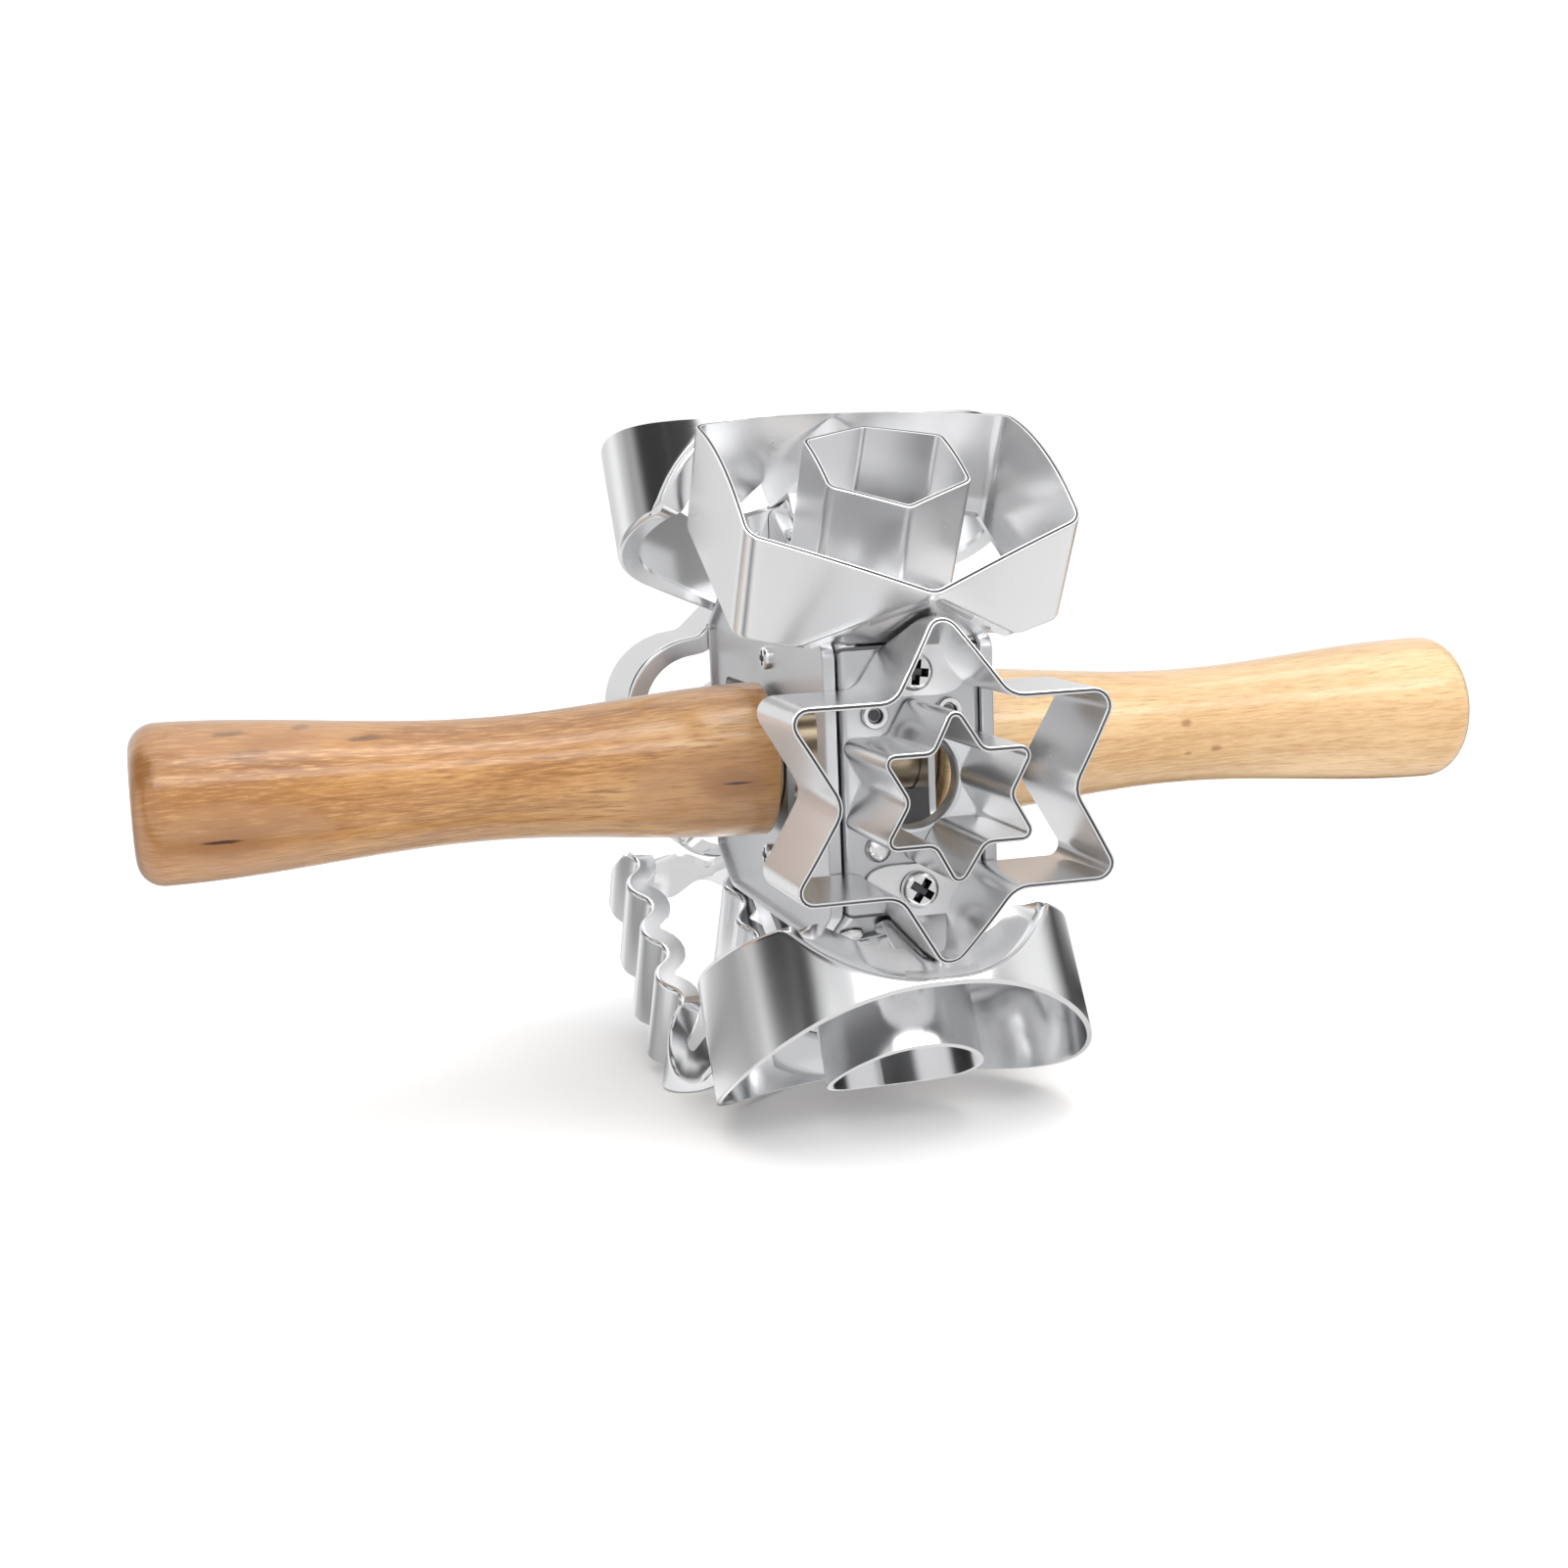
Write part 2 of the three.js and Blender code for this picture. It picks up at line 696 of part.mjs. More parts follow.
addPiece(holder, 'axle_rod', axleRod(), steel);
addPiece(holder, 'handle_right', handle(), paleWood);
addPiece(holder, 'handle_left', handle(), honeyWood).rotation.z = Math.PI;

addPiece(roller, 'bearing_sleeve', bearingSleeve(), bearing);
addPiece(roller, 'end_plate_right', endPlate(), steel);
addPiece(roller, 'end_plate_left', endPlate(), steel).rotation.z = Math.PI;

cutters.forEach((cutter, i) => {
  const station = new THREE.Group();
  station.rotation.x = Math.PI / 2 - (i * 2 * Math.PI) / cutterTotal;
  roller.add(station);
  const rivetPlaces = rivetsRound(cutter.inner, cutter.rivetEdge);
  addPiece(station, `${cutter.name}_bridge`, bridge(rivetPlaces), steel);
  addPiece(station, `${cutter.name}_outer_band`, outerBand(cutter.outer, rivetPlaces), brightSteel);
  addPiece(station, `${cutter.name}_inner_band`, innerBand(cutter.inner), brightSteel);
  [screwOffset, -screwOffset].forEach((offset, k) => {
    addPiece(station, `${cutter.name}_screw_${k + 1}`, screw(), brightSteel).position.y = offset;
  });
  rivetPlaces.forEach(([x, y], k) => {
    addPiece(station, `${cutter.name}_rivet_${k + 1}`, rivet(), brightSteel).position.set(x, y, 0);
  });
});

export default doughnutCutter;
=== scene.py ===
import math

import bmesh
import bpy
from mathutils import Euler, Matrix, Vector


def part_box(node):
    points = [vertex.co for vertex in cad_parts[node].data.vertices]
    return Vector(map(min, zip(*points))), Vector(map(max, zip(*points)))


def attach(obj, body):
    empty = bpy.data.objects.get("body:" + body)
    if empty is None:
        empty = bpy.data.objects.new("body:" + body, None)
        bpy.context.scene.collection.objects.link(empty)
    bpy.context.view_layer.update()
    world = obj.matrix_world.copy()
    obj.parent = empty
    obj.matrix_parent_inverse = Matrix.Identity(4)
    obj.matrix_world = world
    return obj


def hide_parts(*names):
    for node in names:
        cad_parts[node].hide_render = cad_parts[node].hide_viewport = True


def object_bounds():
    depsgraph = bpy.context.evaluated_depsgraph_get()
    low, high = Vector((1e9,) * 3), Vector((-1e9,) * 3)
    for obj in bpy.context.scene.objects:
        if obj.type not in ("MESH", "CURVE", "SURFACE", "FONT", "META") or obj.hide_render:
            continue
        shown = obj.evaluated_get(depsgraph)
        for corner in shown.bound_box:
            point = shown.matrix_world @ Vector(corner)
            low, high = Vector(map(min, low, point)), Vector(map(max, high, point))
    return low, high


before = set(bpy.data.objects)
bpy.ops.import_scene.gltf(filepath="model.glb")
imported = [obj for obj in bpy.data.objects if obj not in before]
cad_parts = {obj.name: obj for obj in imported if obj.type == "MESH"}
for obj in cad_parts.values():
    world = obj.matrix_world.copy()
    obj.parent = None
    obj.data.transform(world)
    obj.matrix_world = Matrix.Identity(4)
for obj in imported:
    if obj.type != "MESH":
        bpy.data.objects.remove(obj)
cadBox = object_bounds()
print("frame loaded:", len(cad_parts), "nodes")


# nodes and materials: a node's value is a constant or another node's output

def addNode(tree, kind, values=None, **settings):
    node = tree.nodes.new(kind)
    for key, value in settings.items():
        setattr(node, key, value)
    for key, value in (values or {}).items():
        if isinstance(value, bpy.types.NodeSocket):
            tree.links.new(value, node.inputs[key])
        else:
            node.inputs[key].default_value = value
    return node


def mapVector(tree, vector, values, kind="POINT"):
    return addNode(tree, "ShaderNodeMapping", {"Vector": vector, **values}, vector_type=kind).outputs[0]


def stretchedNoise(tree, vector, stretch=(1, 1, 1), scale=1, detail=2, roughness=0.55):
    stretched = mapVector(tree, vector, {"Scale": stretch})
    values = {"Vector": stretched, "Scale": scale, "Detail": detail, "Roughness": roughness}
    return addNode(tree, "ShaderNodeTexNoise", values).outputs["Fac"]


def remap(tree, value, low, high, toLow=0.0, toHigh=1.0, smooth=False):
    values = {"Value": value, "From Min": low, "From Max": high, "To Min": toLow, "To Max": toHigh}
    curve = "SMOOTHSTEP" if smooth else "LINEAR"
    return addNode(tree, "ShaderNodeMapRange", values, interpolation_type=curve).outputs[0]


# a mix node's sockets for colours have no names of their own, so they go by their places
def mixColour(tree, mask, first, second, blend="MIX"):
    values = {0: mask, 6: first, 7: second}
    return addNode(tree, "ShaderNodeMix", values, data_type="RGBA", blend_type=blend).outputs[2]


def calculate(tree, operation, *sources):
    return addNode(tree, "ShaderNodeMath", dict(enumerate(sources)), operation=operation).outputs[0]


def splitVector(tree, vector):
    return addNode(tree, "ShaderNodeSeparateXYZ", {0: vector}).outputs


def newMaterial(name, fixed):
    material = bpy.data.materials.new(name)
    material.use_nodes = True
    tree = material.node_tree
    shader = tree.nodes["Principled BSDF"]
    for key, value in fixed.items():
        shader.inputs[key].default_value = value
    coordinates = addNode(tree, "ShaderNodeTexCoord")
    return material, tree, shader, coordinates.outputs["Object"]


# a finish takes places, tones and values, and gives colour, roughness and height
def startFinish(name, tones, values):
    group = bpy.data.node_groups.new(name, "ShaderNodeTree")
    inputs = {"Vector": "Vector", **dict.fromkeys(tones, "Color"), **dict.fromkeys(values, "Float")}
    outputs = {"Color": "Color", "Roughness": "Float", "Height": "Float"}
    for side, sockets in (("INPUT", inputs), ("OUTPUT", outputs)):
        for label, kind in sockets.items():
            group.interface.new_socket(label, in_out=side, socket_type="NodeSocket" + kind)
    return group, addNode(group, "NodeGroupInput").outputs


def endFinish(group, colour, roughness, height):
    addNode(group, "NodeGroupOutput", {"Color": colour, "Roughness": roughness, "Height": height})
    return group


# sets a finish into a material, and gives its colour back for more to be laid over it
def placeFinish(tree, shader, vector, group, values, bump, depth):
    finish = addNode(tree, "ShaderNodeGroup", {"Vector": vector, **values}, node_tree=group).outputs
    relief = {"Height": finish["Height"], "Strength": bump, "Distance": depth}
    tree.links.new(finish["Roughness"], shader.inputs["Roughness"])
    tree.links.new(addNode(tree, "ShaderNodeBump", relief).outputs[0], shader.inputs["Normal"])
    return finish["Color"]


# steel: a soft cloudiness, fine drawn lines, faint handling marks and shallow dimples
steelDetail = {"cloud": {"scale": 30, "detail": 3}, "lines": {"stretch": (40, 1500, 1500)},
               "marks": {"scale": 95, "detail": 5, "roughness": 0.7}, "dimples": {"scale": 42, "detail": 1},
               "lineTone": (0.12, -0.06), "toneRange": (0.32, 0.7), "markRange": (0.52, 0.78),
               "lineRoughness": (0.3, 0.7, -0.004, 0.006), "lineHeight": 0.01}


def buildSteelFinish():
    group, start = startFinish("steelFinish", ("Bright", "Dull"), ("Polish", "Haze"))
    layers = [steelDetail[key] for key in ("cloud", "lines", "marks", "dimples")]
    cloud, lines, marks, dimples = [stretchedNoise(group, start["Vector"], **layer) for layer in layers]
    tone = calculate(group, "ADD", cloud, calculate(group, "MULTIPLY_ADD", lines, *steelDetail["lineTone"]))
    toneMask = remap(group, tone, *steelDetail["toneRange"])
    colour = mixColour(group, toneMask, start["Dull"], start["Bright"])
    markMask = remap(group, marks, *steelDetail["markRange"], smooth=True)
    haze = calculate(group, "MULTIPLY", markMask, start["Haze"])
    rough = calculate(group, "ADD", start["Polish"], haze)
    rough = calculate(group, "ADD", rough, remap(group, lines, *steelDetail["lineRoughness"]))
    fine = calculate(group, "MULTIPLY", lines, steelDetail["lineHeight"])
    return endFinish(group, colour, rough, calculate(group, "ADD", dimples, fine))


# painted glow: a narrow band's inside mirrors itself over and over, so its sides are made to glow for the
# first mirror ray, though they are no lamp
paintedSideGlow = {"none": (0.0, 0.0, 0.0, 1), "glowTone": (0.95, 0.95, 0.96, 1), "firstMirror": 1, "within": 0.5}


def addPaintedSideGlow(tree, shader, vector, reach):
    aside = calculate(tree, "ABSOLUTE", splitVector(tree, vector)["X"])
    sides = remap(tree, aside, *reach, smooth=True)
    depth = addNode(tree, "ShaderNodeLightPath").outputs["Glossy Depth"]
    mirrored = calculate(tree, "COMPARE", depth, paintedSideGlow["firstMirror"], paintedSideGlow["within"])
    mask = calculate(tree, "MULTIPLY", sides, mirrored)
    glow = mixColour(tree, mask, paintedSideGlow["none"], paintedSideGlow["glowTone"])
    tree.links.new(glow, shader.inputs["Emission Color"])


def makeSteel(name, look):
    material, tree, shader, vector = newMaterial(name, {"Metallic": 1.0})
    # painted glow on the hole bands: emission that only the first mirror ray sees
    if "paintedSideGlow" in look:
        shader.inputs["Emission Strength"].default_value = look["paintedSideGlow"]
        material.cycles.emission_sampling = "NONE"
        addPaintedSideGlow(tree, shader, vector, look["glowReach"])
    values = {label: look[label.lower()] for label in ("Bright", "Dull", "Polish", "Haze")}
    colour = placeFinish(tree, shader, vector, steelFinish, values, look["bump"], look["depth"])
    tree.links.new(colour, shader.inputs["Base Color"])
    return material


def steelLook(bright, dull, polish, haze=0.02, bump=0.025, depth=0.0005):
    return {"bright": (*bright, 1), "dull": (*dull, 1), "polish": polish, "haze": haze, "bump": bump,
            "depth": depth}


steelLooks = {
    "satinBandSteel": steelLook((0.93, 0.93, 0.935), (0.89, 0.893, 0.90), 0.26),
    "mirrorBandSteel": steelLook((0.90, 0.90, 0.91), (0.85, 0.855, 0.865), 0.16, bump=0.02),
    "cutEdgeSteel": steelLook((0.97, 0.97, 0.97), (0.92, 0.92, 0.925), 0.20, bump=0.02, depth=0.0003),
    # painted shade: the hem's groove gets near-black steel
    "grooveShadeSteel": steelLook((0.16, 0.16, 0.17), (0.10, 0.10, 0.105), 0.40, 0.10, 0.03, 0.0003),
    "hubSteel": steelLook((0.68, 0.685, 0.70), (0.63, 0.635, 0.65), 0.31),
    "seatSteel": steelLook((0.88, 0.883, 0.89), (0.83, 0.833, 0.84), 0.30),
    "fastenerSteel": steelLook((0.93, 0.93, 0.93), (0.84, 0.84, 0.845), 0.15, 0.04, 0.03, 0.0003),
    # painted shade: screw recesses and tube rivet mouths get near-black steel
    "recessShadeSteel": steelLook((0.17, 0.17, 0.18), (0.06, 0.06, 0.065), 0.26, 0.12, 0.08, 0.0003),
    "rodSteel": steelLook((0.66, 0.66, 0.67), (0.56, 0.56, 0.57), 0.24, 0.12, 0.06, 0.0003),
    "bearingBronze": steelLook((0.66, 0.53, 0.38), (0.52, 0.41, 0.28), 0.32, 0.12, 0.08, 0.0004),
}
# the hole bands' steels, with a painted glow on their sides
holeLooks = {"satin": {"paintedSideGlow": 0.5, "glowReach": (0.001, 0.010)},
             "mirror": {"paintedSideGlow": 0.7, "glowReach": (0.008, 0.0125)}}
for kind, look in holeLooks.items():
    steelLooks[kind + "HoleSteel"] = {**steelLooks[kind + "BandSteel"], **look}
steelFinish = buildSteelFinish()
steels = {name: makeSteel(name, look) for name, look in steelLooks.items()}
print("steels made:", len(steels))


# wood: fibres and short dashes along the handle, slow growth rings, clouds of tone and dark pores
woodDetail = {"fibres": {"stretch": (20, 290, 290), "detail": 6, "roughness": 0.62},
              "dashes": {"stretch": (190, 2000, 2000), "detail": 3, "roughness": 0.6},
              "pores": {"stretch": (60, 800, 800)}, "clouds": {"stretch": (11, 34, 34), "detail": 3},
              "ringMap": {"Scale": (3.2, 26, 26), "Rotation": (0.0, 0.05, 0.09)},
              "rings": {"Scale": 1.5, "Distortion": 7.0, "Detail": 3.0, "Detail Scale": 1.3},
              "lean": (0.0, 0.012, 0.01), "core": 0.0115, "girth": 0.0145,
              "cloudRange": (0.34, 0.66), "ringRange": (0.25, 1.0, 0, 0.6),
              "fibreRange": (0.42, 0.72, 0, 0.6), "dashRange": (0.50, 0.72, 0, 0.75),
              "paleRange": (0.48, 0.28, 0, 0.75), "poreRange": (0.68, 0.78, 0, 0.6),
              "roughRange": (0.3, 0.7, 0.34, 0.48), "poreDip": -0.7}


# streaks run straight along a turned handle, so places are first drawn in to one girth round the rod
def wrapRound(tree, vector):
    parts = splitVector(tree, vector)
    squares = [calculate(tree, "MULTIPLY", parts[axis], parts[axis]) for axis in "YZ"]
    out = calculate(tree, "SQRT", calculate(tree, "ADD", *squares))
    out = calculate(tree, "MAXIMUM", out, woodDetail["core"])
    ratio = calculate(tree, "DIVIDE", woodDetail["girth"], out)
    drawnIn = {axis: calculate(tree, "MULTIPLY", parts[axis], ratio) for axis in "YZ"}
    return addNode(tree, "ShaderNodeCombineXYZ", {"X": parts["X"], **drawnIn}).outputs[0]


def buildWoodFigure():
    group, start = startFinish("woodFigure", ("Light", "Middle", "Dark"), ("Figure",))
    vector = mapVector(group, start["Vector"], {"Rotation": woodDetail["lean"]})
    wrapped = wrapRound(group, vector)
    layers = [woodDetail[key] for key in ("fibres", "dashes", "pores")]
    fibres, dashes, pores = [stretchedNoise(group, wrapped, **layer) for layer in layers]
    clouds = stretchedNoise(group, vector, **woodDetail["clouds"])
    ringVector = mapVector(group, vector, woodDetail["ringMap"])
    rings = addNode(group, "ShaderNodeTexWave", {"Vector": ringVector, **woodDetail["rings"]},
                    wave_type="RINGS", rings_direction="X").outputs["Fac"]
    cloudMask = remap(group, clouds, *woodDetail["cloudRange"], smooth=True)
    colour = mixColour(group, cloudMask, start["Middle"], start["Light"])
    ringMask = remap(group, rings, *woodDetail["ringRange"], smooth=True)
    ringMask = calculate(group, "MULTIPLY", ringMask, start["Figure"])
    colour = mixColour(group, ringMask, colour, start["Dark"])
    colour = mixColour(group, remap(group, fibres, *woodDetail["fibreRange"]), colour, start["Dark"])
    colour = mixColour(group, remap(group, dashes, *woodDetail["dashRange"]), colour, start["Dark"])
    colour = mixColour(group, remap(group, dashes, *woodDetail["paleRange"]), colour, start["Light"])
    poreMask = remap(group, pores, *woodDetail["poreRange"])
    colour = mixColour(group, poreMask, colour, start["Dark"], "MULTIPLY")
    rough = remap(group, fibres, *woodDetail["roughRange"])
    grain = calculate(group, "ADD", fibres, dashes)
    dips = calculate(group, "MULTIPLY", poreMask, woodDetail["poreDip"])
    return endFinish(group, colour, rough, calculate(group, "ADD", grain, dips))


# a knot is up to three ovals over each other: a stained field with a firm edge, a brown halo, a dark slit
knotParts = {"field": {"tone": (0.40, 0.205, 0.085, 1), "edge": (1.12, 0.90)},
             "halo": {"tone": (0.30, 0.13, 0.045, 1), "edge": (1.25, 0.30)},
             "slit": {"tone": (0.055, 0.018, 0.006, 1), "edge": (1.25, 0.45)}}
knotShape = {"depth": 0.03, "wobbleDetail": 3, "wobbleRange": (0.25, 0.75, -0.22, 0.22)}


def addOval(tree, vector, colour, part, centre, length, height, weight, wobble):
    reach = {"Location": centre, "Scale": (length, knotShape["depth"], height)}
    local = mapVector(tree, vector, reach, "TEXTURE")
    out = addNode(tree, "ShaderNodeVectorMath", {0: local}, operation="LENGTH").outputs["Value"]
    waves = {"Vector": vector, "Scale": wobble, "Detail": knotShape["wobbleDetail"]}
    shift = addNode(tree, "ShaderNodeTexNoise", waves).outputs["Fac"]
    uneven = calculate(tree, "ADD", out, remap(tree, shift, *knotShape["wobbleRange"]))
    mask = remap(tree, uneven, *knotParts[part]["edge"], 0, weight, True)
    return mixColour(tree, mask, colour, knotParts[part]["tone"])


varnish = {"Coat Weight": 1.0, "Coat Roughness": 0.16, "Coat IOR": 1.6, "Specular IOR Level": 0.3}
woodRelief = {"bump": 0.10, "depth": 0.0004}
mirroredWood = {"tone": (0.50, 0.465, 0.455, 1), "share": 0.7}  # steel mirrors the wood greyer than it is


def makeWood(name, look):
    material, tree, shader, vector = newMaterial(name, varnish)
    values = {label: look[label.lower()] for label in ("Light", "Middle", "Dark", "Figure")}
    colour = placeFinish(tree, shader, vector, woodFigure, values, **woodRelief)
    for oval in look["knots"]:
        colour = addOval(tree, vector, colour, *oval)
    glossyRay = addNode(tree, "ShaderNodeLightPath").outputs["Is Glossy Ray"]
    mirrored = calculate(tree, "MULTIPLY", glossyRay, mirroredWood["share"])
    colour = mixColour(tree, mirrored, colour, mirroredWood["tone"])
    tree.links.new(colour, shader.inputs["Base Color"])
    return material


# each oval of a knot: part, centre, length, height, weight and wobble
woodLooks = {
    "honeyWood": {
        "light": (0.61, 0.35, 0.145, 1), "middle": (0.43, 0.192, 0.041, 1), "dark": (0.20, 0.072, 0.015, 1),
        "figure": 0.7,
        "knots": [
            ("field", (-0.1265, -0.0135, -0.0060), 0.0160, 0.0080, 0.55, 70),
            ("halo", (-0.1305, -0.0135, -0.0062), 0.0110, 0.0045, 0.80, 120),
            ("slit", (-0.1305, -0.0135, -0.0062), 0.0044, 0.00042, 0.97, 400),
            ("field", (-0.0290, -0.0150, -0.0040), 0.0200, 0.0090, 0.50, 60),
            ("halo", (-0.0275, -0.0150, -0.0028), 0.0095, 0.0042, 0.80, 120),
            ("slit", (-0.0275, -0.0150, -0.0026), 0.0032, 0.00032, 0.97, 400),
            ("field", (-0.1220, -0.0050, 0.0130), 0.0190, 0.0036, 0.50, 220),
            ("halo", (-0.1180, -0.0060, 0.0120), 0.0080, 0.0020, 0.65, 300),
            ("slit", (-0.1010, -0.0080, 0.0112), 0.0042, 0.0006, 0.60, 500),
            ("slit", (-0.1277, -0.0060, 0.0139), 0.0042, 0.00045, 0.50, 600),
            ("slit", (-0.1240, -0.0080, 0.0104), 0.0036, 0.00050, 0.45, 600),
            ("slit", (-0.1137, -0.0060, 0.0140), 0.0018, 0.00045, 0.45, 600),
            ("slit", (-0.1440, -0.0080, 0.0085), 0.0030, 0.0036, 0.40, 200),
            ("halo", (-0.1500, 0.0, 0.0), 0.0105, 0.03, 0.80, 90),
        ]},
    "paleWood": {
        "light": (0.72, 0.495, 0.265, 1), "middle": (0.60, 0.36, 0.148, 1), "dark": (0.45, 0.245, 0.085, 1),
        "figure": 0.5,
        "knots": [
            ("halo", (0.0755, -0.0125, 0.0022), 0.0015, 0.0010, 0.75, 400),
            ("halo", (0.0830, -0.0130, -0.0040), 0.0016, 0.0008, 0.75, 400),
            ("halo", (0.0762, -0.0130, -0.0047), 0.0011, 0.0006, 0.65, 400),
        ]},
}
woodFigure = buildWoodFigure()
woods = {name: makeWood(name, look) for name, look in woodLooks.items()}
print("woods made:", len(woods))


def addObject(name, data):
    item = bpy.data.objects.new(name, data)
    bpy.context.scene.collection.objects.link(item)
    return item


# camera at the photo's place, looking a little to the right and down
cameraPlace = {"position": (-0.1343, -0.4294, 0.0623), "right": (0.9602, -0.2767, -0.0383),
               "up": (0.0783, 0.1352, 0.9877), "lens": 48.263, "sensor": 36.0}


def addCamera():
    right = Vector(cameraPlace["right"]).normalized()
    back = right.cross(Vector(cameraPlace["up"])).normalized()
    up = back.cross(right)
    turn = Matrix((right, up, back)).transposed().to_4x4()
    data = bpy.data.cameras.new("photoCamera")
    data.lens = cameraPlace["lens"]
    data.sensor_width = cameraPlace["sensor"]
    camera = addObject("photoCamera", data)
    camera.matrix_world = Matrix.Translation(Vector(cameraPlace["position"])) @ turn
    bpy.context.scene.camera = camera


addCamera()
print("camera placed")


# sizes that the solids give: the star faces -y, so its boxes hold the heights over the rod
rimRadius = -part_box("star_outer_band")[0].y
bandFoot = -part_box("star_outer_band")[1].y
bridgeTop = -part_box("star_bridge")[0].y
cellHalfAngle = math.pi / 6
cellGap = 0.0004
rimSlack = 0.00002
sheetThickness = 0.0011
wallThickness = 0.0011
hair = 0.000001
quarterTurn = math.pi / 2
foldY = bandFoot * math.tan(cellHalfAngle)


def cutterTurn(station):
    return Matrix.Rotation(quarterTurn - station * math.pi / 3, 3, "X")


# middle across and top of a solid, in its cutter's own directions
def localPlace(node, station):
    back = cutterTurn(station).inverted()
    across, along, up = zip(*(back @ vert.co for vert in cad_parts[node].data.vertices))
    return (min(across) + max(across)) / 2, (min(along) + max(along)) / 2, max(up)


# outlines as they print on dough: a belt round pulleys (x, v, radius), the radius negative in a hollow
beltStep = {"length": 0.0012, "fewest": 4, "tightest": 0.0002, "slack": 0.0001}


def polar(radius, angle):
    return radius * math.cos(angle), radius * math.sin(angle)


# tips and notches by turns round the middle, each a distance out and a radius
def turnsBelt(count, firstAngle, tip, notch, stretch):
    pulleys = []
    for step in range(2 * count):
        out, radius = notch if step % 2 else tip
        x, v = polar(out, firstAngle + step * math.pi / count)
        pulleys.append((x * stretch, v, radius))
    return pulleys


def starBelt(reach, tipRounding, notchRounding, stretch):
    sharpTip = reach + tipRounding
    notchOut = sharpTip / math.sqrt(3) + notchRounding / math.sin(math.pi / 3)
    tip = (sharpTip - 2 * tipRounding, tipRounding)
    return turnsBelt(6, quarterTurn, tip, (notchOut, -notchRounding), stretch)


def hexagonBelt(halfWidth, reach, sideHalf, rounding):
    sideX = halfWidth - rounding
    places = [(0, reach - rounding), (-sideX, sideHalf), (-sideX, -sideHalf),
              (0, rounding - reach), (sideX, -sideHalf), (sideX, sideHalf)]
    return [(x, v, rounding) for x, v in places]


def heartBelt(halfWidth, reach, lobeRadius, tipRounding, cleftRounding):
    lobeX = halfWidth - lobeRadius
    lobeV = lobeRadius - reach
    cleftDrop = math.sqrt((lobeRadius + cleftRounding) ** 2 - lobeX ** 2)
    return [(0, reach - tipRounding, tipRounding), (-lobeX, lobeV, lobeRadius),
            (0, lobeV - cleftDrop - beltStep["slack"], -cleftRounding), (lobeX, lobeV, lobeRadius)]


def flowerBelt(reach, radius, notchRounding, stretch):
    halfStep = math.pi / 5
    out = reach - radius
    notchRise = math.sqrt((radius + notchRounding) ** 2 - (out * math.sin(halfStep)) ** 2)
    notchOut = out * math.cos(halfStep) + notchRise + beltStep["slack"]
    return turnsBelt(5, -quarterTurn, (out, radius), (notchOut, -notchRounding), stretch)


def scallopBelt(halfWidth, reach, lobeRadius, hollowRadius, perSide):
    lobeX = halfWidth - lobeRadius
    lobeV = reach - lobeRadius
    pitch = min(lobeX, lobeV) / perSide
    hollowOut = math.sqrt((lobeRadius + hollowRadius) ** 2 - pitch ** 2) + beltStep["slack"]
    corners = [Vector((x * lobeX, v * lobeV)) for x, v in ((1, -1), (1, 1), (-1, 1), (-1, -1))]
    pulleys = []
    for side in range(4):
        here, there = corners[side], corners[(side + 1) % 4]
        outward = Vector(polar(hollowOut, side * quarterTurn))
        for lobe in range(perSide):
            crest = here.lerp(there, lobe / perSide)
            dip = here.lerp(there, (lobe + 0.5) / perSide) + outward
            pulleys += [(crest.x, crest.y, lobeRadius), (dip.x, dip.y, -hollowRadius)]
    return pulleys


def ringBelt(halfWidth, reach):
    stretch = max(halfWidth - reach, beltStep["slack"])
    return [(-stretch, 0, reach), (stretch, 0, reach)]


def beltTurns(pulleys):
    headings = []
    for (x, v, radius), (nextX, nextV, nextRadius) in zip(pulleys, pulleys[1:] + pulleys[:1]):
        lean = (nextRadius - radius) / math.hypot(nextX - x, nextV - v)
        headings.append(math.atan2(nextV - v, nextX - x) - math.asin(max(-1.0, min(1.0, lean))))
    turns = []
    for index, pulley in enumerate(pulleys):
        turn = (headings[index] - headings[index - 1]) % math.tau
        turns.append(turn if pulley[2] > 0 else turn - math.tau)
    return headings, turns


# every inset of one outline gets the same count of points, so that its loops bridge one to one
def traceBelt(bm, pulleys, inset):
    before = set(bm.edges)
    plainTurns = beltTurns(pulleys)[1]
    drawn = [(x, v, max(r - inset, beltStep["tightest"]) if r > 0 else r - inset) for x, v, r in pulleys]
    headings, turns = beltTurns(drawn)
    ends = []
    for index, (x, v, radius) in enumerate(drawn):
        arrival = headings[index - 1]
        start = bm.verts.new((x + radius * math.sin(arrival), v - radius * math.cos(arrival), 0))
        arcLength = abs(plainTurns[index] * pulleys[index][2])
        steps = max(beltStep["fewest"], math.ceil(arcLength / beltStep["length"]))
        arc = bmesh.ops.spin(bm, geom=[start], cent=(x, v, 0), axis=(0, 0, 1), angle=turns[index],
                             steps=steps)
        ends.append((start, arc["geom_last"][0]))
    runs = []
    for index, (x, v, radius) in enumerate(pulleys):
        onward = (index + 1) % len(ends)
        nextX, nextV, nextRadius = pulleys[onward]
        apart = math.hypot(nextX - x, nextV - v)
        reach = math.sqrt(max(apart ** 2 - (nextRadius - radius) ** 2, 0))
        runs.append((bm.edges.new((ends[index][1], ends[onward][0])), int(reach / beltStep["length"])))
    for run, cuts in runs:
        if cuts:
            bmesh.ops.subdivide_edges(bm, edges=[run], cuts=cuts)
    return [edge for edge in bm.edges if edge not in before]


# short forms of the operators that most pieces use

def vertsOf(geom):
    return [item for item in geom if isinstance(item, bmesh.types.BMVert)]


def edgesOf(geom):
    return [item for item in geom if isinstance(item, bmesh.types.BMEdge)]


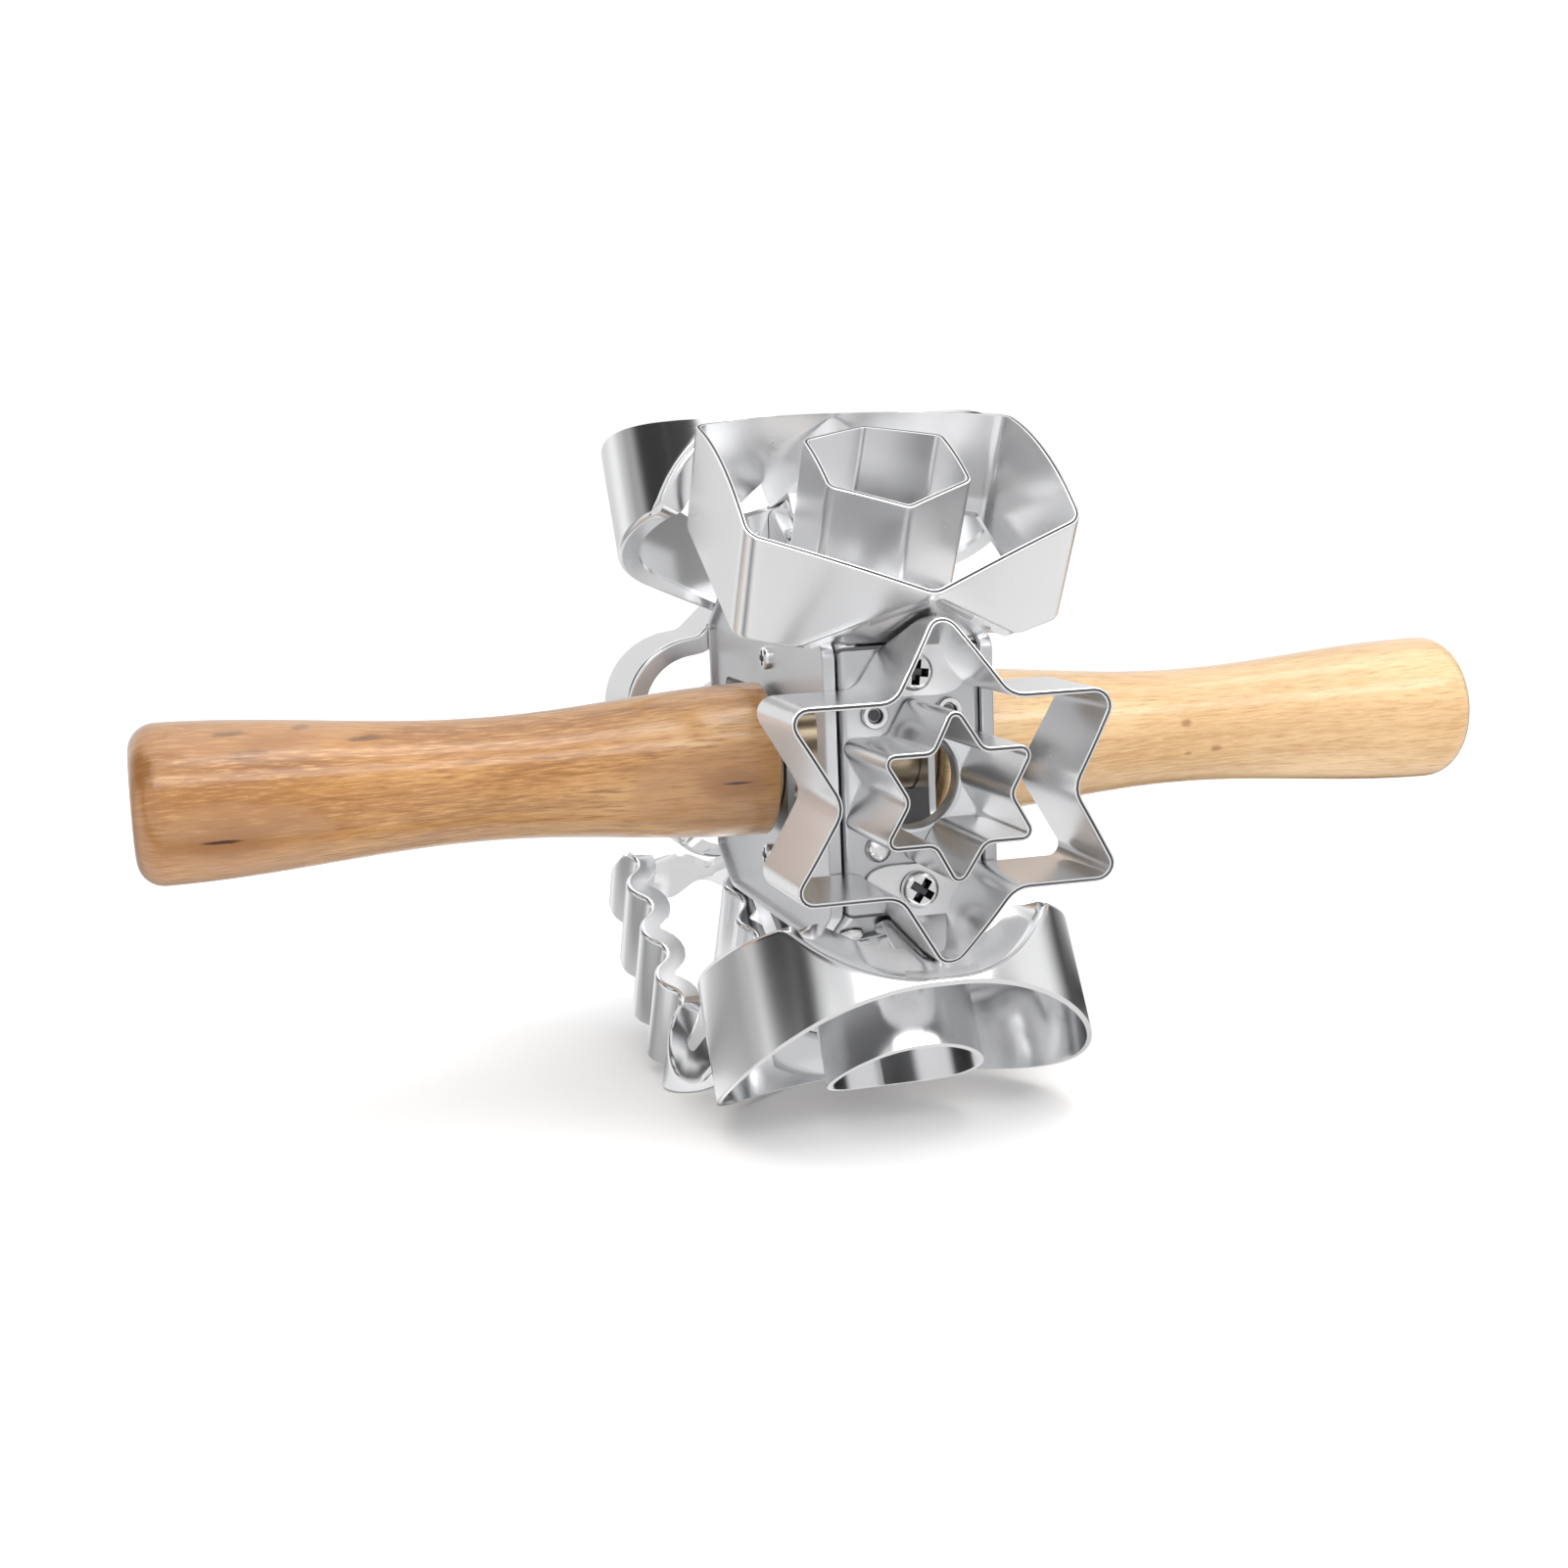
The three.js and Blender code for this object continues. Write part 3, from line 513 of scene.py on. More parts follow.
def moveAll(bm, offset):
    bmesh.ops.translate(bm, verts=bm.verts[:], vec=offset)


def turnAll(bm, matrix):
    bmesh.ops.rotate(bm, verts=bm.verts[:], cent=(0, 0, 0), matrix=matrix)


def paint(faces, slot):
    for face in faces:
        face.material_index = slot


# raises faces by an offset, with walls under them, and gives back the raised faces
def extrudeFaces(bm, faces, offset, keep=False):
    edges = list({edge for face in faces for edge in face.edges})
    geom = bmesh.ops.extrude_face_region(bm, geom=faces + edges, use_keep_orig=keep)["geom"]
    bmesh.ops.translate(bm, verts=vertsOf(geom), vec=offset)
    return [item for item in geom if isinstance(item, bmesh.types.BMFace)]


# carries an edge loop on through rings of (radius, height), and gives back the last loop
def extrudeLoop(bm, edges, rings):
    for (radius, height), (nextRadius, nextHeight) in zip(rings, rings[1:]):
        scale = nextRadius / radius
        geom = bmesh.ops.extrude_edge_only(bm, edges=edges)["geom"]
        bmesh.ops.scale(bm, verts=vertsOf(geom), vec=(scale, scale, 1))
        bmesh.ops.translate(bm, verts=vertsOf(geom), vec=(0, 0, nextHeight - height))
        edges = edgesOf(geom)
    return edges


# a turned form: a circle carried through rings of (radius, height)
def turnedRings(bm, rings, sides, capped):
    radius, height = rings[0]
    verts = bmesh.ops.create_circle(bm, cap_ends=False, segments=sides, radius=radius)["verts"]
    bmesh.ops.translate(bm, verts=verts, vec=(0, 0, height))
    first = list({edge for vert in verts for edge in vert.link_edges})
    last = extrudeLoop(bm, first, rings)
    if capped:
        bmesh.ops.contextual_create(bm, geom=first)
        bmesh.ops.contextual_create(bm, geom=last)
    return first, last


def roundEdges(bm, edges, width, segments):
    return bmesh.ops.bevel(bm, geom=edges, offset=width, segments=segments, profile=0.5, affect="EDGES",
                           material=-1, clamp_overlap=True)["faces"]


def roundCorners(bm, verts, width, segments):
    bmesh.ops.bevel(bm, geom=verts, offset=width, segments=segments, profile=0.5, affect="VERTICES",
                    material=-1)


sharpAngle = 1.0  # radians between two faces


def easeSharpEdges(bm, width, segments):
    bmesh.ops.recalc_face_normals(bm, faces=bm.faces[:])
    roundEdges(bm, [edge for edge in bm.edges if edge.calc_face_angle(0) > sharpAngle], width, segments)


def cutPlane(bm, place, normal, clears):
    geom = bm.verts[:] + bm.edges[:] + bm.faces[:]
    return bmesh.ops.bisect_plane(bm, geom=geom, plane_co=place, plane_no=normal,
                                  clear_outer=clears)["geom_cut"]


def joinInto(bm, other):
    mesh = bpy.data.meshes.new("joined")
    other.to_mesh(mesh)
    other.free()
    bm.from_mesh(mesh)
    bpy.data.meshes.remove(mesh)


def meshObject(bm, name, materials):
    mesh = bpy.data.meshes.new(name)
    bm.to_mesh(mesh)
    bm.free()
    for material in materials:
        mesh.materials.append(material)
    return addObject(name, mesh)


def finishPiece(bm, name, nodes, body, materials, smoothAngle=38):
    bmesh.ops.recalc_face_normals(bm, faces=bm.faces[:])
    piece = meshObject(bm, name, materials)
    piece.data.shade_smooth()
    piece.data.set_sharp_from_angle(angle=math.radians(smoothAngle))
    weighing = piece.modifiers.new("flatWalls", "WEIGHTED_NORMAL")  # large faces keep their own shading
    weighing.keep_sharp = True
    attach(piece, body)
    if nodes:
        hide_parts(*nodes)


# height over the rod of a cutter's folded sheet, at a place across it and a lift off its underside
def foldHeight(y, lift):
    slope = (abs(y) + (cellGap + lift) / math.cos(cellHalfAngle)) / math.tan(cellHalfAngle)
    return max(bandFoot + lift, slope)


# a vertex's z counts rows until here: 0 the underside, 1 the sheet's upper side, then the rows of the wall
def drape(bm, rowShares, sink=0.0):
    for vert in bm.verts:
        y = rimRadius * math.sin(vert.co.y / rimRadius)
        rim = math.sqrt(rimRadius ** 2 - y ** 2) - rimSlack
        row = round(vert.co.z)
        sheet = min(foldHeight(y, sheetThickness), rim - sheetThickness / 2) - sink
        if row == 0:
            height = min(foldHeight(y, 0) + sink, sheet)
        else:
            height = sheet + (rim - sheet) * rowShares[row - 1]
        vert.co = (vert.co.x, y, height)


# cutter bands: a wall with a hemmed rim, a rounded base, and a flange turned in at the foot
bandForm = {"rows": (0.0, 0.5, 1.0), "baseRounding": 0.0008, "baseSegments": 3, "rimRounding": 0.0002,
            "rimSegments": 2, "hemWidth": 0.00013, "hemDepth": 0.0004}
bandSlots = {"wall": 0, "edge": 1, "groove": 2, "seat": 3}


def bandMesh(pulleys, flange, hemmed):
    bm = bmesh.new()
    outer = traceBelt(bm, pulleys, 0)
    inner = traceBelt(bm, pulleys, wallThickness)
    paint(bmesh.ops.bridge_loops(bm, edges=outer + inner)["faces"], bandSlots["edge"])
    if flange:
        lip = traceBelt(bm, pulleys, flange)
        paint(bmesh.ops.bridge_loops(bm, edges=inner + lip)["faces"], bandSlots["wall"])
    sheet = extrudeFaces(bm, bm.faces[:], (0, 0, 1), True)
    rising = [face for face in sheet if face.material_index == bandSlots["edge"]]
    for _ in bandForm["rows"][1:]:
        rising = extrudeFaces(bm, rising, (0, 0, 1))
    rimFaces = set(rising)
    paint(bm.faces, bandSlots["wall"])
    paint(rimFaces, bandSlots["edge"])
    drape(bm, bandForm["rows"])
    rimEdges = [edge for edge in bm.edges if sum(face in rimFaces for face in edge.link_faces) == 1]
    roundEdges(bm, outer, bandForm["baseRounding"], bandForm["baseSegments"])
    rounded = set(roundEdges(bm, rimEdges, bandForm["rimRounding"], bandForm["rimSegments"]))
    paint(rounded, bandSlots["edge"])
    # the hem's groove is painted near-black as shade
    if hemmed:
        hem = [face for face in bm.faces if face.material_index == bandSlots["edge"] and face not in rounded]
        bmesh.ops.inset_region(bm, faces=hem, thickness=bandForm["hemWidth"], use_boundary=True,
                               use_even_offset=True)
        paint(extrudeFaces(bm, hem, (0, 0, -bandForm["hemDepth"])), bandSlots["groove"])
    return bm


# the floor that a screw clamps, from the middle of the cutter up into its tip
seatForm = {"start": 0.0166, "inset": 0.00066, "corner": 0.0055, "cornerSegments": 6, "sink": 0.00005,
            "edge": 0.0003, "edgeSegments": 2}


def addSeat(bm, pulleys, half, side):
    plate = bmesh.new()
    traceBelt(plate, pulleys, seatForm["inset"])
    bmesh.ops.contextual_create(plate, geom=plate.edges[:])
    foldV = rimRadius * math.asin(foldY / rimRadius)
    cutPlane(plate, (0, side * seatForm["start"], 0), (0, -side, 0), True)
    cutPlane(plate, (half, 0, 0), (1, 0, 0), True)
    cutPlane(plate, (-half, 0, 0), (-1, 0, 0), True)
    cutPlane(plate, (0, side * foldV, 0), (0, side, 0), False)
    corners = [vert for vert in plate.verts if abs(abs(vert.co.x) - half) < hair
               and abs(abs(vert.co.y) - seatForm["start"]) < hair]
    roundCorners(plate, corners, seatForm["corner"], seatForm["cornerSegments"])
    extrudeFaces(plate, plate.faces[:], (0, 0, 1), True)
    drape(plate, bandForm["rows"], seatForm["sink"])
    easeSharpEdges(plate, seatForm["edge"], seatForm["edgeSegments"])
    paint(plate.faces, bandSlots["seat"])
    joinInto(bm, plate)


# pan-head screw with a deep cross recess, painted dark as shade
screwForm = {"head": ((0.0037, 0.0), (0.0038, 0.0005), (0.00375, 0.0011), (0.00355, 0.0016),
                      (0.0032, 0.00195), (0.0028, 0.0021), (0.0026, 0.00214)),
             "sides": 48, "shank": 0.0018, "length": 0.0058, "cross": 0.0025, "armsPerCross": 3,
             "recessDepth": 0.0017, "recessTaper": 0.66, "spin": 0.35, "spinStep": 1.1}


def screwMesh(scale=1.0):
    bm = bmesh.new()
    head = screwForm["head"]
    low, high = turnedRings(bm, head, screwForm["sides"], False)
    cells = screwForm["sides"] // 4
    grid = bmesh.ops.create_grid(bm, x_segments=cells, y_segments=cells, size=screwForm["cross"])["verts"]
    bmesh.ops.translate(bm, verts=grid, vec=(0, 0, head[-1][1]))
    armHalf = screwForm["cross"] / screwForm["armsPerCross"]
    gridFaces = {face for vert in grid for face in vert.link_faces}
    corners = [face for face in gridFaces if min(map(abs, face.calc_center_median().xy)) > armHalf]
    crossFaces = list(gridFaces.difference(corners))
    bmesh.ops.delete(bm, geom=corners, context="FACES")
    border = [edge for face in crossFaces for edge in face.edges if len(edge.link_faces) == 1]
    bmesh.ops.bridge_loops(bm, edges=border + high)
    sunkFaces = extrudeFaces(bm, crossFaces, (0, 0, -screwForm["recessDepth"]))
    sunkVerts = list({vert for face in sunkFaces for vert in face.verts})
    bmesh.ops.scale(bm, verts=sunkVerts, vec=(screwForm["recessTaper"], screwForm["recessTaper"], 1))
    # the recess walls take the second steel, painted shade
    paint({face for vert in sunkVerts for face in vert.link_faces}, 1)
    shank = screwForm["shank"]
    tip = extrudeLoop(bm, low, [head[0], (shank, 0.0), (shank, -screwForm["length"])])
    bmesh.ops.contextual_create(bm, geom=tip)
    bmesh.ops.scale(bm, verts=bm.verts[:], vec=(scale, scale, scale))
    return bm


# rivets: a plain dome, and a tubular one whose open middle is painted dark as shade
rivetForm = {"dome": ((0.0012, -0.0028), (0.0012, 0.0), (0.0026, 0.0), (0.00252, 0.0004), (0.00225, 0.0008),
                      (0.0018, 0.00115), (0.0012, 0.00138), (0.0005, 0.00149)),
             "tube": ((0.0012, -0.0028), (0.0012, 0.0), (0.0026, 0.0), (0.00268, 0.0005), (0.00262, 0.0009),
                      (0.00245, 0.0011), (0.0017, 0.0011), (0.0015, 0.0009), (0.00142, 0.0002),
                      (0.0012, -0.0001)),
             "sides": 32, "mouth": 0.00155, "mouthFloor": -0.0005}


def rivetMesh(kind):
    bm = bmesh.new()
    turnedRings(bm, rivetForm[kind], rivetForm["sides"], True)
    # the tube's mouth takes the second steel, painted shade
    if kind == "tube":
        for face in bm.faces:
            widest = max(math.hypot(vert.co.x, vert.co.y) for vert in face.verts)
            lowest = min(vert.co.z for vert in face.verts)
            if widest < rivetForm["mouth"] and lowest > rivetForm["mouthFloor"]:
                face.material_index = 1
    return bm


# bridge: a channel whose round hole has a drawn edge
bridgeForm = {"halfWidth": 0.0145, "sheet": 0.0012, "sideDepth": 0.0086, "bend": 0.0017, "bendSteps": 6,
              "hole": 0.0095, "collar": 0.0042, "collarBend": 0.0011, "collarSteps": 4, "points": 64}


def bridgeMesh():
    bm = bmesh.new()
    form = bridgeForm
    flatHalf = form["halfWidth"] - form["bend"]
    longest = bridgeTop * math.tan(cellHalfAngle)
    bmesh.ops.create_grid(bm, x_segments=form["points"] // 4, y_segments=form["points"] // 4, size=1)
    bmesh.ops.scale(bm, verts=bm.verts[:], vec=(flatHalf, longest, 1))
    border = [edge for edge in bm.edges if len(edge.link_faces) == 1]
    inner = [edge for edge in bm.edges if len(edge.link_faces) == 2]
    bmesh.ops.delete(bm, geom=inner, context="EDGES")
    border = [edge for edge in border if edge.is_valid]
    mouth = form["hole"] + form["collarBend"]
    ring = bmesh.ops.create_circle(bm, cap_ends=False, segments=form["points"], radius=mouth)["verts"]
    holeEdges = list({edge for vert in ring for edge in vert.link_edges})
    bmesh.ops.bridge_loops(bm, edges=border + holeEdges)
    rings = [(mouth, 0.0)]
    for step in range(1, form["collarSteps"] + 1):
        along, out = polar(form["collarBend"], step * quarterTurn / form["collarSteps"])
        rings.append((mouth - out, along - form["collarBend"]))
    rings.append((form["hole"], -form["collar"]))
    extrudeLoop(bm, holeEdges, rings)
    for side in (1, -1):
        edgeX = side * flatHalf
        edges = [edge for edge in border if all(abs(vert.co.x - edgeX) < hair for vert in edge.verts)]
        bend = bmesh.ops.spin(bm, geom=edges, cent=(edgeX, 0, -form["bend"]), axis=(0, side, 0),
                              angle=quarterTurn, steps=form["bendSteps"])["geom_last"]
        extrudeLoop(bm, edgesOf(bend), [(1, -form["bend"]), (1, -form["sideDepth"])])
    bmesh.ops.recalc_face_normals(bm, faces=bm.faces[:])
    top = max(bm.faces, key=lambda face: face.calc_center_median().z)
    bmesh.ops.solidify(bm, geom=bm.faces[:], thickness=form["sheet"] * (1 if top.normal.z > 0 else -1))
    moveAll(bm, (0, 0, bridgeTop))
    for side in (1, -1):
        normal = Vector((0, side * math.cos(cellHalfAngle), -math.sin(cellHalfAngle)))
        bmesh.ops.contextual_create(bm, geom=edgesOf(cutPlane(bm, normal * -cellGap, normal, True)))
    return bm


# the six cutters, from the front upwards
cutterMargin = 0.0011
starMargin = 0.0036
outlineReach = rimRadius * cellHalfAngle - cutterMargin
starReach = rimRadius * cellHalfAngle - starMargin
holeReach = 0.0162
mirrorCutter = {"hemmed": True, "steel": "mirror", "flange": 0.0045, "innerFlange": 0.0032, "seat": 0.0075,
                "rivets": ("dome",) * 4}
satinCutter = {**mirrorCutter, "steel": "satin", "seat": 0.0105}
cutters = [
    {**satinCutter, "name": "star", "flange": 0, "innerFlange": 0,
     "rivets": ("tube", "tube", "dome", "dome"),
     "outer": starBelt(starReach, tipRounding=0.0034, notchRounding=0.0045, stretch=1.05),
     "inner": starBelt(holeReach, tipRounding=0.002, notchRounding=0.002, stretch=1.0)},
    {**satinCutter, "name": "hexagon",
     "outer": hexagonBelt(0.0338, outlineReach, sideHalf=0.0186, rounding=0.0045),
     "inner": hexagonBelt(0.0148, holeReach, sideHalf=0.0077, rounding=0.0026)},
    {**mirrorCutter, "name": "heart",
     "outer": heartBelt(0.044, outlineReach, lobeRadius=0.025, tipRounding=0.003, cleftRounding=0.004),
     "inner": heartBelt(0.018, holeReach, lobeRadius=0.0094, tipRounding=0.0018, cleftRounding=0.002)},
    {**mirrorCutter, "name": "flower",
     "outer": flowerBelt(outlineReach, radius=0.0174, notchRounding=0.003, stretch=1.1),
     "inner": flowerBelt(holeReach, radius=0.0076, notchRounding=0.0016, stretch=1.0)},
    {**mirrorCutter, "name": "scallop",
     "outer": scallopBelt(0.0415, outlineReach, lobeRadius=0.0056, hollowRadius=0.0039, perSide=4),
     "inner": scallopBelt(0.0193, holeReach, lobeRadius=0.004, hollowRadius=0.0034, perSide=2)},
    {**mirrorCutter, "name": "ring", "hemmed": False,
     "outer": ringBelt(0.039, outlineReach), "inner": ringBelt(holeReach, holeReach)},
]
# the second steel paints shade into screw and rivet recesses
screwSteel = [steels["fastenerSteel"], steels["recessShadeSteel"]]


def seatPiece(bm, station, name, node, materials, place=(0, 0, 0)):
    moveAll(bm, place)
    turnAll(bm, cutterTurn(station))
    finishPiece(bm, name, [node], "roller", materials)


def makeCutter(station, cutter):
    name = cutter["name"]
    edgeSteels = [steels["cutEdgeSteel"], steels["grooveShadeSteel"]]
    outer = bandMesh(cutter["outer"], cutter["flange"], cutter["hemmed"])
    for side in (1, -1):
        addSeat(outer, cutter["outer"], cutter["seat"], side)
    seatPiece(outer, station, name + "OuterBand", name + "_outer_band",
              [steels[cutter["steel"] + "BandSteel"], *edgeSteels, steels["seatSteel"]])
    # the inner band's steel carries the painted side glow
    inner = bandMesh(cutter["inner"], cutter["innerFlange"], cutter["hemmed"])
    seatPiece(inner, station, name + "InnerBand", name + "_inner_band",
              [steels[cutter["steel"] + "HoleSteel"], *edgeSteels])
    seatPiece(bridgeMesh(), station, name + "Bridge", name + "_bridge", [steels["hubSteel"]])
    for count in (1, 2):
        node = f"{name}_screw_{count}"
        x, y, top = localPlace(node, station)
        place = (x, y, top - screwForm["head"][-1][1])
        screw = screwMesh()
        turnAll(screw, Matrix.Rotation(screwForm["spin"] + screwForm["spinStep"] * count + station, 3, "Z"))
        seatPiece(screw, station, f"{name}Screw{count}", node, screwSteel, place)
    for count, kind in enumerate(cutter["rivets"], 1):
        node = f"{name}_rivet_{count}"
        place = (*localPlace(node, station)[:2], bandFoot)
        seatPiece(rivetMesh(kind), station, f"{name}Rivet{count}", node, screwSteel, place)
    print("cutter made:", name)


for station, cutter in enumerate(cutters):
    makeCutter(station, cutter)


# hub end plates: sheet with two windows, a turned lip, and two small screws
plateForm = {"sheet": 0.0015, "cornerCut": 0.00174, "cornerSegments": 5, "bore": 0.0093, "boreSides": 64,
             "windowNear": 0.0135, "windowFar": 0.0359, "windowHalfHeight": 0.0145, "windowCut": 0.0035,
             "windowSegments": 6, "edge": 0.00025, "edgeSegments": 2}
lipForm = {"width": 0.0013, "height": 0.0012, "foot": 0.0001, "edge": 0.00035, "edgeSegments": 3}
plateScrew = {"y": -0.002, "z": 0.0215, "scale": 0.66}


def roundedLoop(corners, cut, segments):
    bm = bmesh.new()
    bm.faces.new([bm.verts.new((x, y, 0)) for x, y in corners])
    roundCorners(bm, bm.verts[:], cut, segments)
    face = max(bm.faces, key=lambda item: len(item.verts))
    loop = [vert.co.copy() for vert in face.verts]
    bm.free()
    return loop


def plateBorder():
    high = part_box("end_plate_left")[1]
    apothem, crop = high.y, high.z
    shoulder = apothem * math.tan(cellHalfAngle)
    cropHalf = (apothem - crop * math.sin(cellHalfAngle)) / math.cos(cellHalfAngle)
    quarter = [(apothem, shoulder), (cropHalf, crop)]
    corners = quarter + [(-y, z) for y, z in reversed(quarter)]
    corners += [(-y, -z) for y, z in quarter] + [(y, -z) for y, z in reversed(quarter)]
    return roundedLoop(corners, plateForm["cornerCut"], plateForm["cornerSegments"])


def windowLoop(side):
    near, far, half = plateForm["windowNear"], plateForm["windowFar"], plateForm["windowHalfHeight"]
    corners = [(near, -half), (far, -half), (far, half), (near, half)]
    loop = roundedLoop(corners, plateForm["windowCut"], plateForm["windowSegments"])
    return [Vector((side * point.x, point.y, 0)) for point in loop]


def addLoop(bm, places):
    verts = [bm.verts.new(place) for place in places]
    return [bm.edges.new(pair) for pair in zip(verts, verts[1:] + verts[:1])]


def lipMesh(border):
    bm = bmesh.new()
    face = bmesh.ops.contextual_create(bm, geom=addLoop(bm, border))["faces"][0]
    ring = bmesh.ops.inset_region(bm, faces=[face], thickness=lipForm["width"], use_boundary=True,
                                  use_even_offset=True)["faces"]
    bmesh.ops.delete(bm, geom=[face], context="FACES")
    extrudeFaces(bm, ring, (0, 0, plateForm["sheet"] + lipForm["height"] - lipForm["foot"]), True)
    moveAll(bm, (0, 0, lipForm["foot"]))
    easeSharpEdges(bm, lipForm["edge"], lipForm["edgeSegments"])
    return bm


def plateMesh():
    bm = bmesh.new()
    sides = plateForm["boreSides"]
    bore = [(*polar(plateForm["bore"], math.tau * step / sides), 0) for step in range(sides)]
    border = plateBorder()
    tucked = 1 - lipForm["width"] / 2 / max(place.x for place in border)
    for places in ([place * tucked for place in border], bore, windowLoop(1), windowLoop(-1)):
        addLoop(bm, places)
    bmesh.ops.triangle_fill(bm, edges=bm.edges[:], use_beauty=True)
    extrudeFaces(bm, bm.faces[:], (0, 0, plateForm["sheet"]), True)
    easeSharpEdges(bm, plateForm["edge"], plateForm["edgeSegments"])
    joinInto(bm, lipMesh(border))
    return bm


# local x, y, z of a plate are the object's y, z and x
def standUp(bm, side, innerX):
    turn = Matrix(((0, 0, side), (1, 0, 0), (0, 1, 0)))
    bmesh.ops.transform(bm, matrix=turn.to_4x4(), verts=bm.verts[:])
    moveAll(bm, (side * innerX, 0, 0))


def makeEndPlate(sideName, side):
    low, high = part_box("end_plate_" + sideName)
    innerX = min(abs(low.x), abs(high.x))
    plate = plateMesh()
    standUp(plate, side, innerX)
    finishPiece(plate, sideName + "EndPlate", ["end_plate_" + sideName], "roller",
                [steels["hubSteel"]])
    for count, sign in ((1, 1), (2, -1)):
        screw = screwMesh(plateScrew["scale"])
        moveAll(screw, (sign * plateScrew["y"], sign * plateScrew["z"], plateForm["sheet"]))
        standUp(screw, side, innerX)
        finishPiece(screw, f"{sideName}PlateScrew{count}", [], "roller", screwSteel)


for sideName, side in (("right", 1), ("left", -1)):
    makeEndPlate(sideName, side)
print("end plates made")


# the two turned handles
handleForm = {"waistX": 0.078, "waist": 0.01275, "swellSteps": 24, "shoulder": 0.0163,
              "shoulderRounding": 0.0009, "shoulderSteps": 6, "end": 0.01625, "endRounding": 0.0055,
              "endSteps": 9, "bore": 0.0053, "boreEnd": 0.0803, "sides": 96, "smoothAngle": 50}


def handleRings(innerX, endX):
    form = handleForm
    rings = [(form["bore"], form["boreEnd"]), (form["bore"], innerX)]
    shoulderX = innerX + form["shoulderRounding"]
    for step in range(form["shoulderSteps"] + 1):
        along, out = polar(form["shoulderRounding"], step * quarterTurn / form["shoulderSteps"])
        rings.append((form["shoulder"] - form["shoulderRounding"] + out, shoulderX - along))
    lastX = endX - form["endRounding"]
    for startX, stopX, start, stop in ((shoulderX, form["waistX"], form["shoulder"], form["waist"]),
                                       (form["waistX"], lastX, form["waist"], form["end"])):
        for step in range(1, form["swellSteps"] + 1):
            share = step / form["swellSteps"]
            ease = (1 - math.cos(math.pi * share)) / 2
            rings.append((start + (stop - start) * ease, startX + (stopX - startX) * share))
    for step in range(1, form["endSteps"] + 1):
        out, along = polar(form["endRounding"], step * quarterTurn / form["endSteps"])
        rings.append((form["end"] - form["endRounding"] + out, lastX + along))
    return rings


def layDown(bm, side):
    turnAll(bm, Matrix.Rotation(side * quarterTurn, 3, "Y"))


def makeHandle(sideName, side, wood):
    low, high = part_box("handle_" + sideName)
    innerX, endX = sorted((abs(low.x), abs(high.x)))
    bm = bmesh.new()
    turnedRings(bm, handleRings(innerX, endX), handleForm["sides"], True)
    layDown(bm, side)
    finishPiece(bm, sideName + "Handle", ["handle_" + sideName], "holder", [woods[wood]],
                handleForm["smoothAngle"])


makeHandle("left", -1, "honeyWood")
makeHandle("right", 1, "paleWood")


# rod and bearing
rodForm = {"chamfer": 0.0005, "sides": 64}
sleeveForm = {"bore": 0.0053, "radius": 0.009, "collar": 0.001, "sides": 64}


def makeRod():
    half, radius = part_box("axle_rod")[1].x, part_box("axle_rod")[1].z
    chamfer = rodForm["chamfer"]
    rings = [(radius - chamfer, -half), (radius, chamfer - half), (radius, half - chamfer),
             (radius - chamfer, half)]
    bm = bmesh.new()
    turnedRings(bm, rings, rodForm["sides"], True)
    layDown(bm, 1)
    finishPiece(bm, "axleRod", ["axle_rod"], "holder", [steels["rodSteel"]])


def makeSleeve():
    half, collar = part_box("bearing_sleeve")[1].x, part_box("bearing_sleeve")[1].z
    bore, radius = sleeveForm["bore"], sleeveForm["radius"]
    collarX = half - sleeveForm["collar"]
    rings = [(bore, -half), (collar, -half), (collar, -collarX), (radius, -collarX), (radius, collarX),
             (collar, collarX), (collar, half), (bore, half), (bore, -half)]
    bm = bmesh.new()
    turnedRings(bm, rings, sleeveForm["sides"], False)
    bmesh.ops.remove_doubles(bm, verts=bm.verts[:], dist=hair)
    layDown(bm, 1)
    finishPiece(bm, "bearingSleeve", ["bearing_sleeve"], "roller",
                [steels["bearingBronze"]])


makeRod()
makeSleeve()
print("rod, bearing and handles made")


# a surround of light and dark panels and two dark cards for the steel to mirror, over the floor and on it
surround = {"panels": ((0.0, 0.80), (0.06, 0.78), (0.11, 0.80), (0.145, 1.0), (0.165, 0.70), (0.18, 0.06),
                       (0.195, 0.06), (0.215, 0.75), (0.24, 1.0), (0.27, 0.90), (0.305, 0.50), (0.34, 0.36),
                       (0.365, 0.60), (0.40, 1.0), (0.46, 0.76), (0.54, 0.76), (0.61, 0.95), (0.68, 0.05),
                       (0.745, 0.95), (0.79, 0.92), (0.84, 0.62), (0.90, 0.78), (1.0, 0.80)),
            "overhead": (1.2, 1.2, 1.2, 1), "overheadRise": (0.55, 0.95), "backdrop": (1.0, 1.0, 1.0, 1),
            "strength": 1.0, "cardTone": (0.04, 0.04, 0.04, 1),
            "cards": (((-0.85, 0.05, 0.53), (0.90, 0.975)), ((-0.56, -0.29, 0.775), (0.955, 0.98)))}


def panelTone(tree, direction):
    parts = splitVector(tree, direction)
    azimuth = calculate(tree, "ARCTAN2", parts["X"], parts["Y"])
    ramp = addNode(tree, "ShaderNodeValToRGB", {"Fac": remap(tree, azimuth, -math.pi, math.pi)})
    ramp.color_ramp.interpolation = "EASE"
    stops = ramp.color_ramp.elements
    for panel in surround["panels"][1:-1]:
        stops.new(panel[0])
    for stop, (place, tone) in zip(stops, surround["panels"]):
        stop.position = place
        stop.color = (tone, tone, tone, 1)
    return ramp.outputs["Color"]


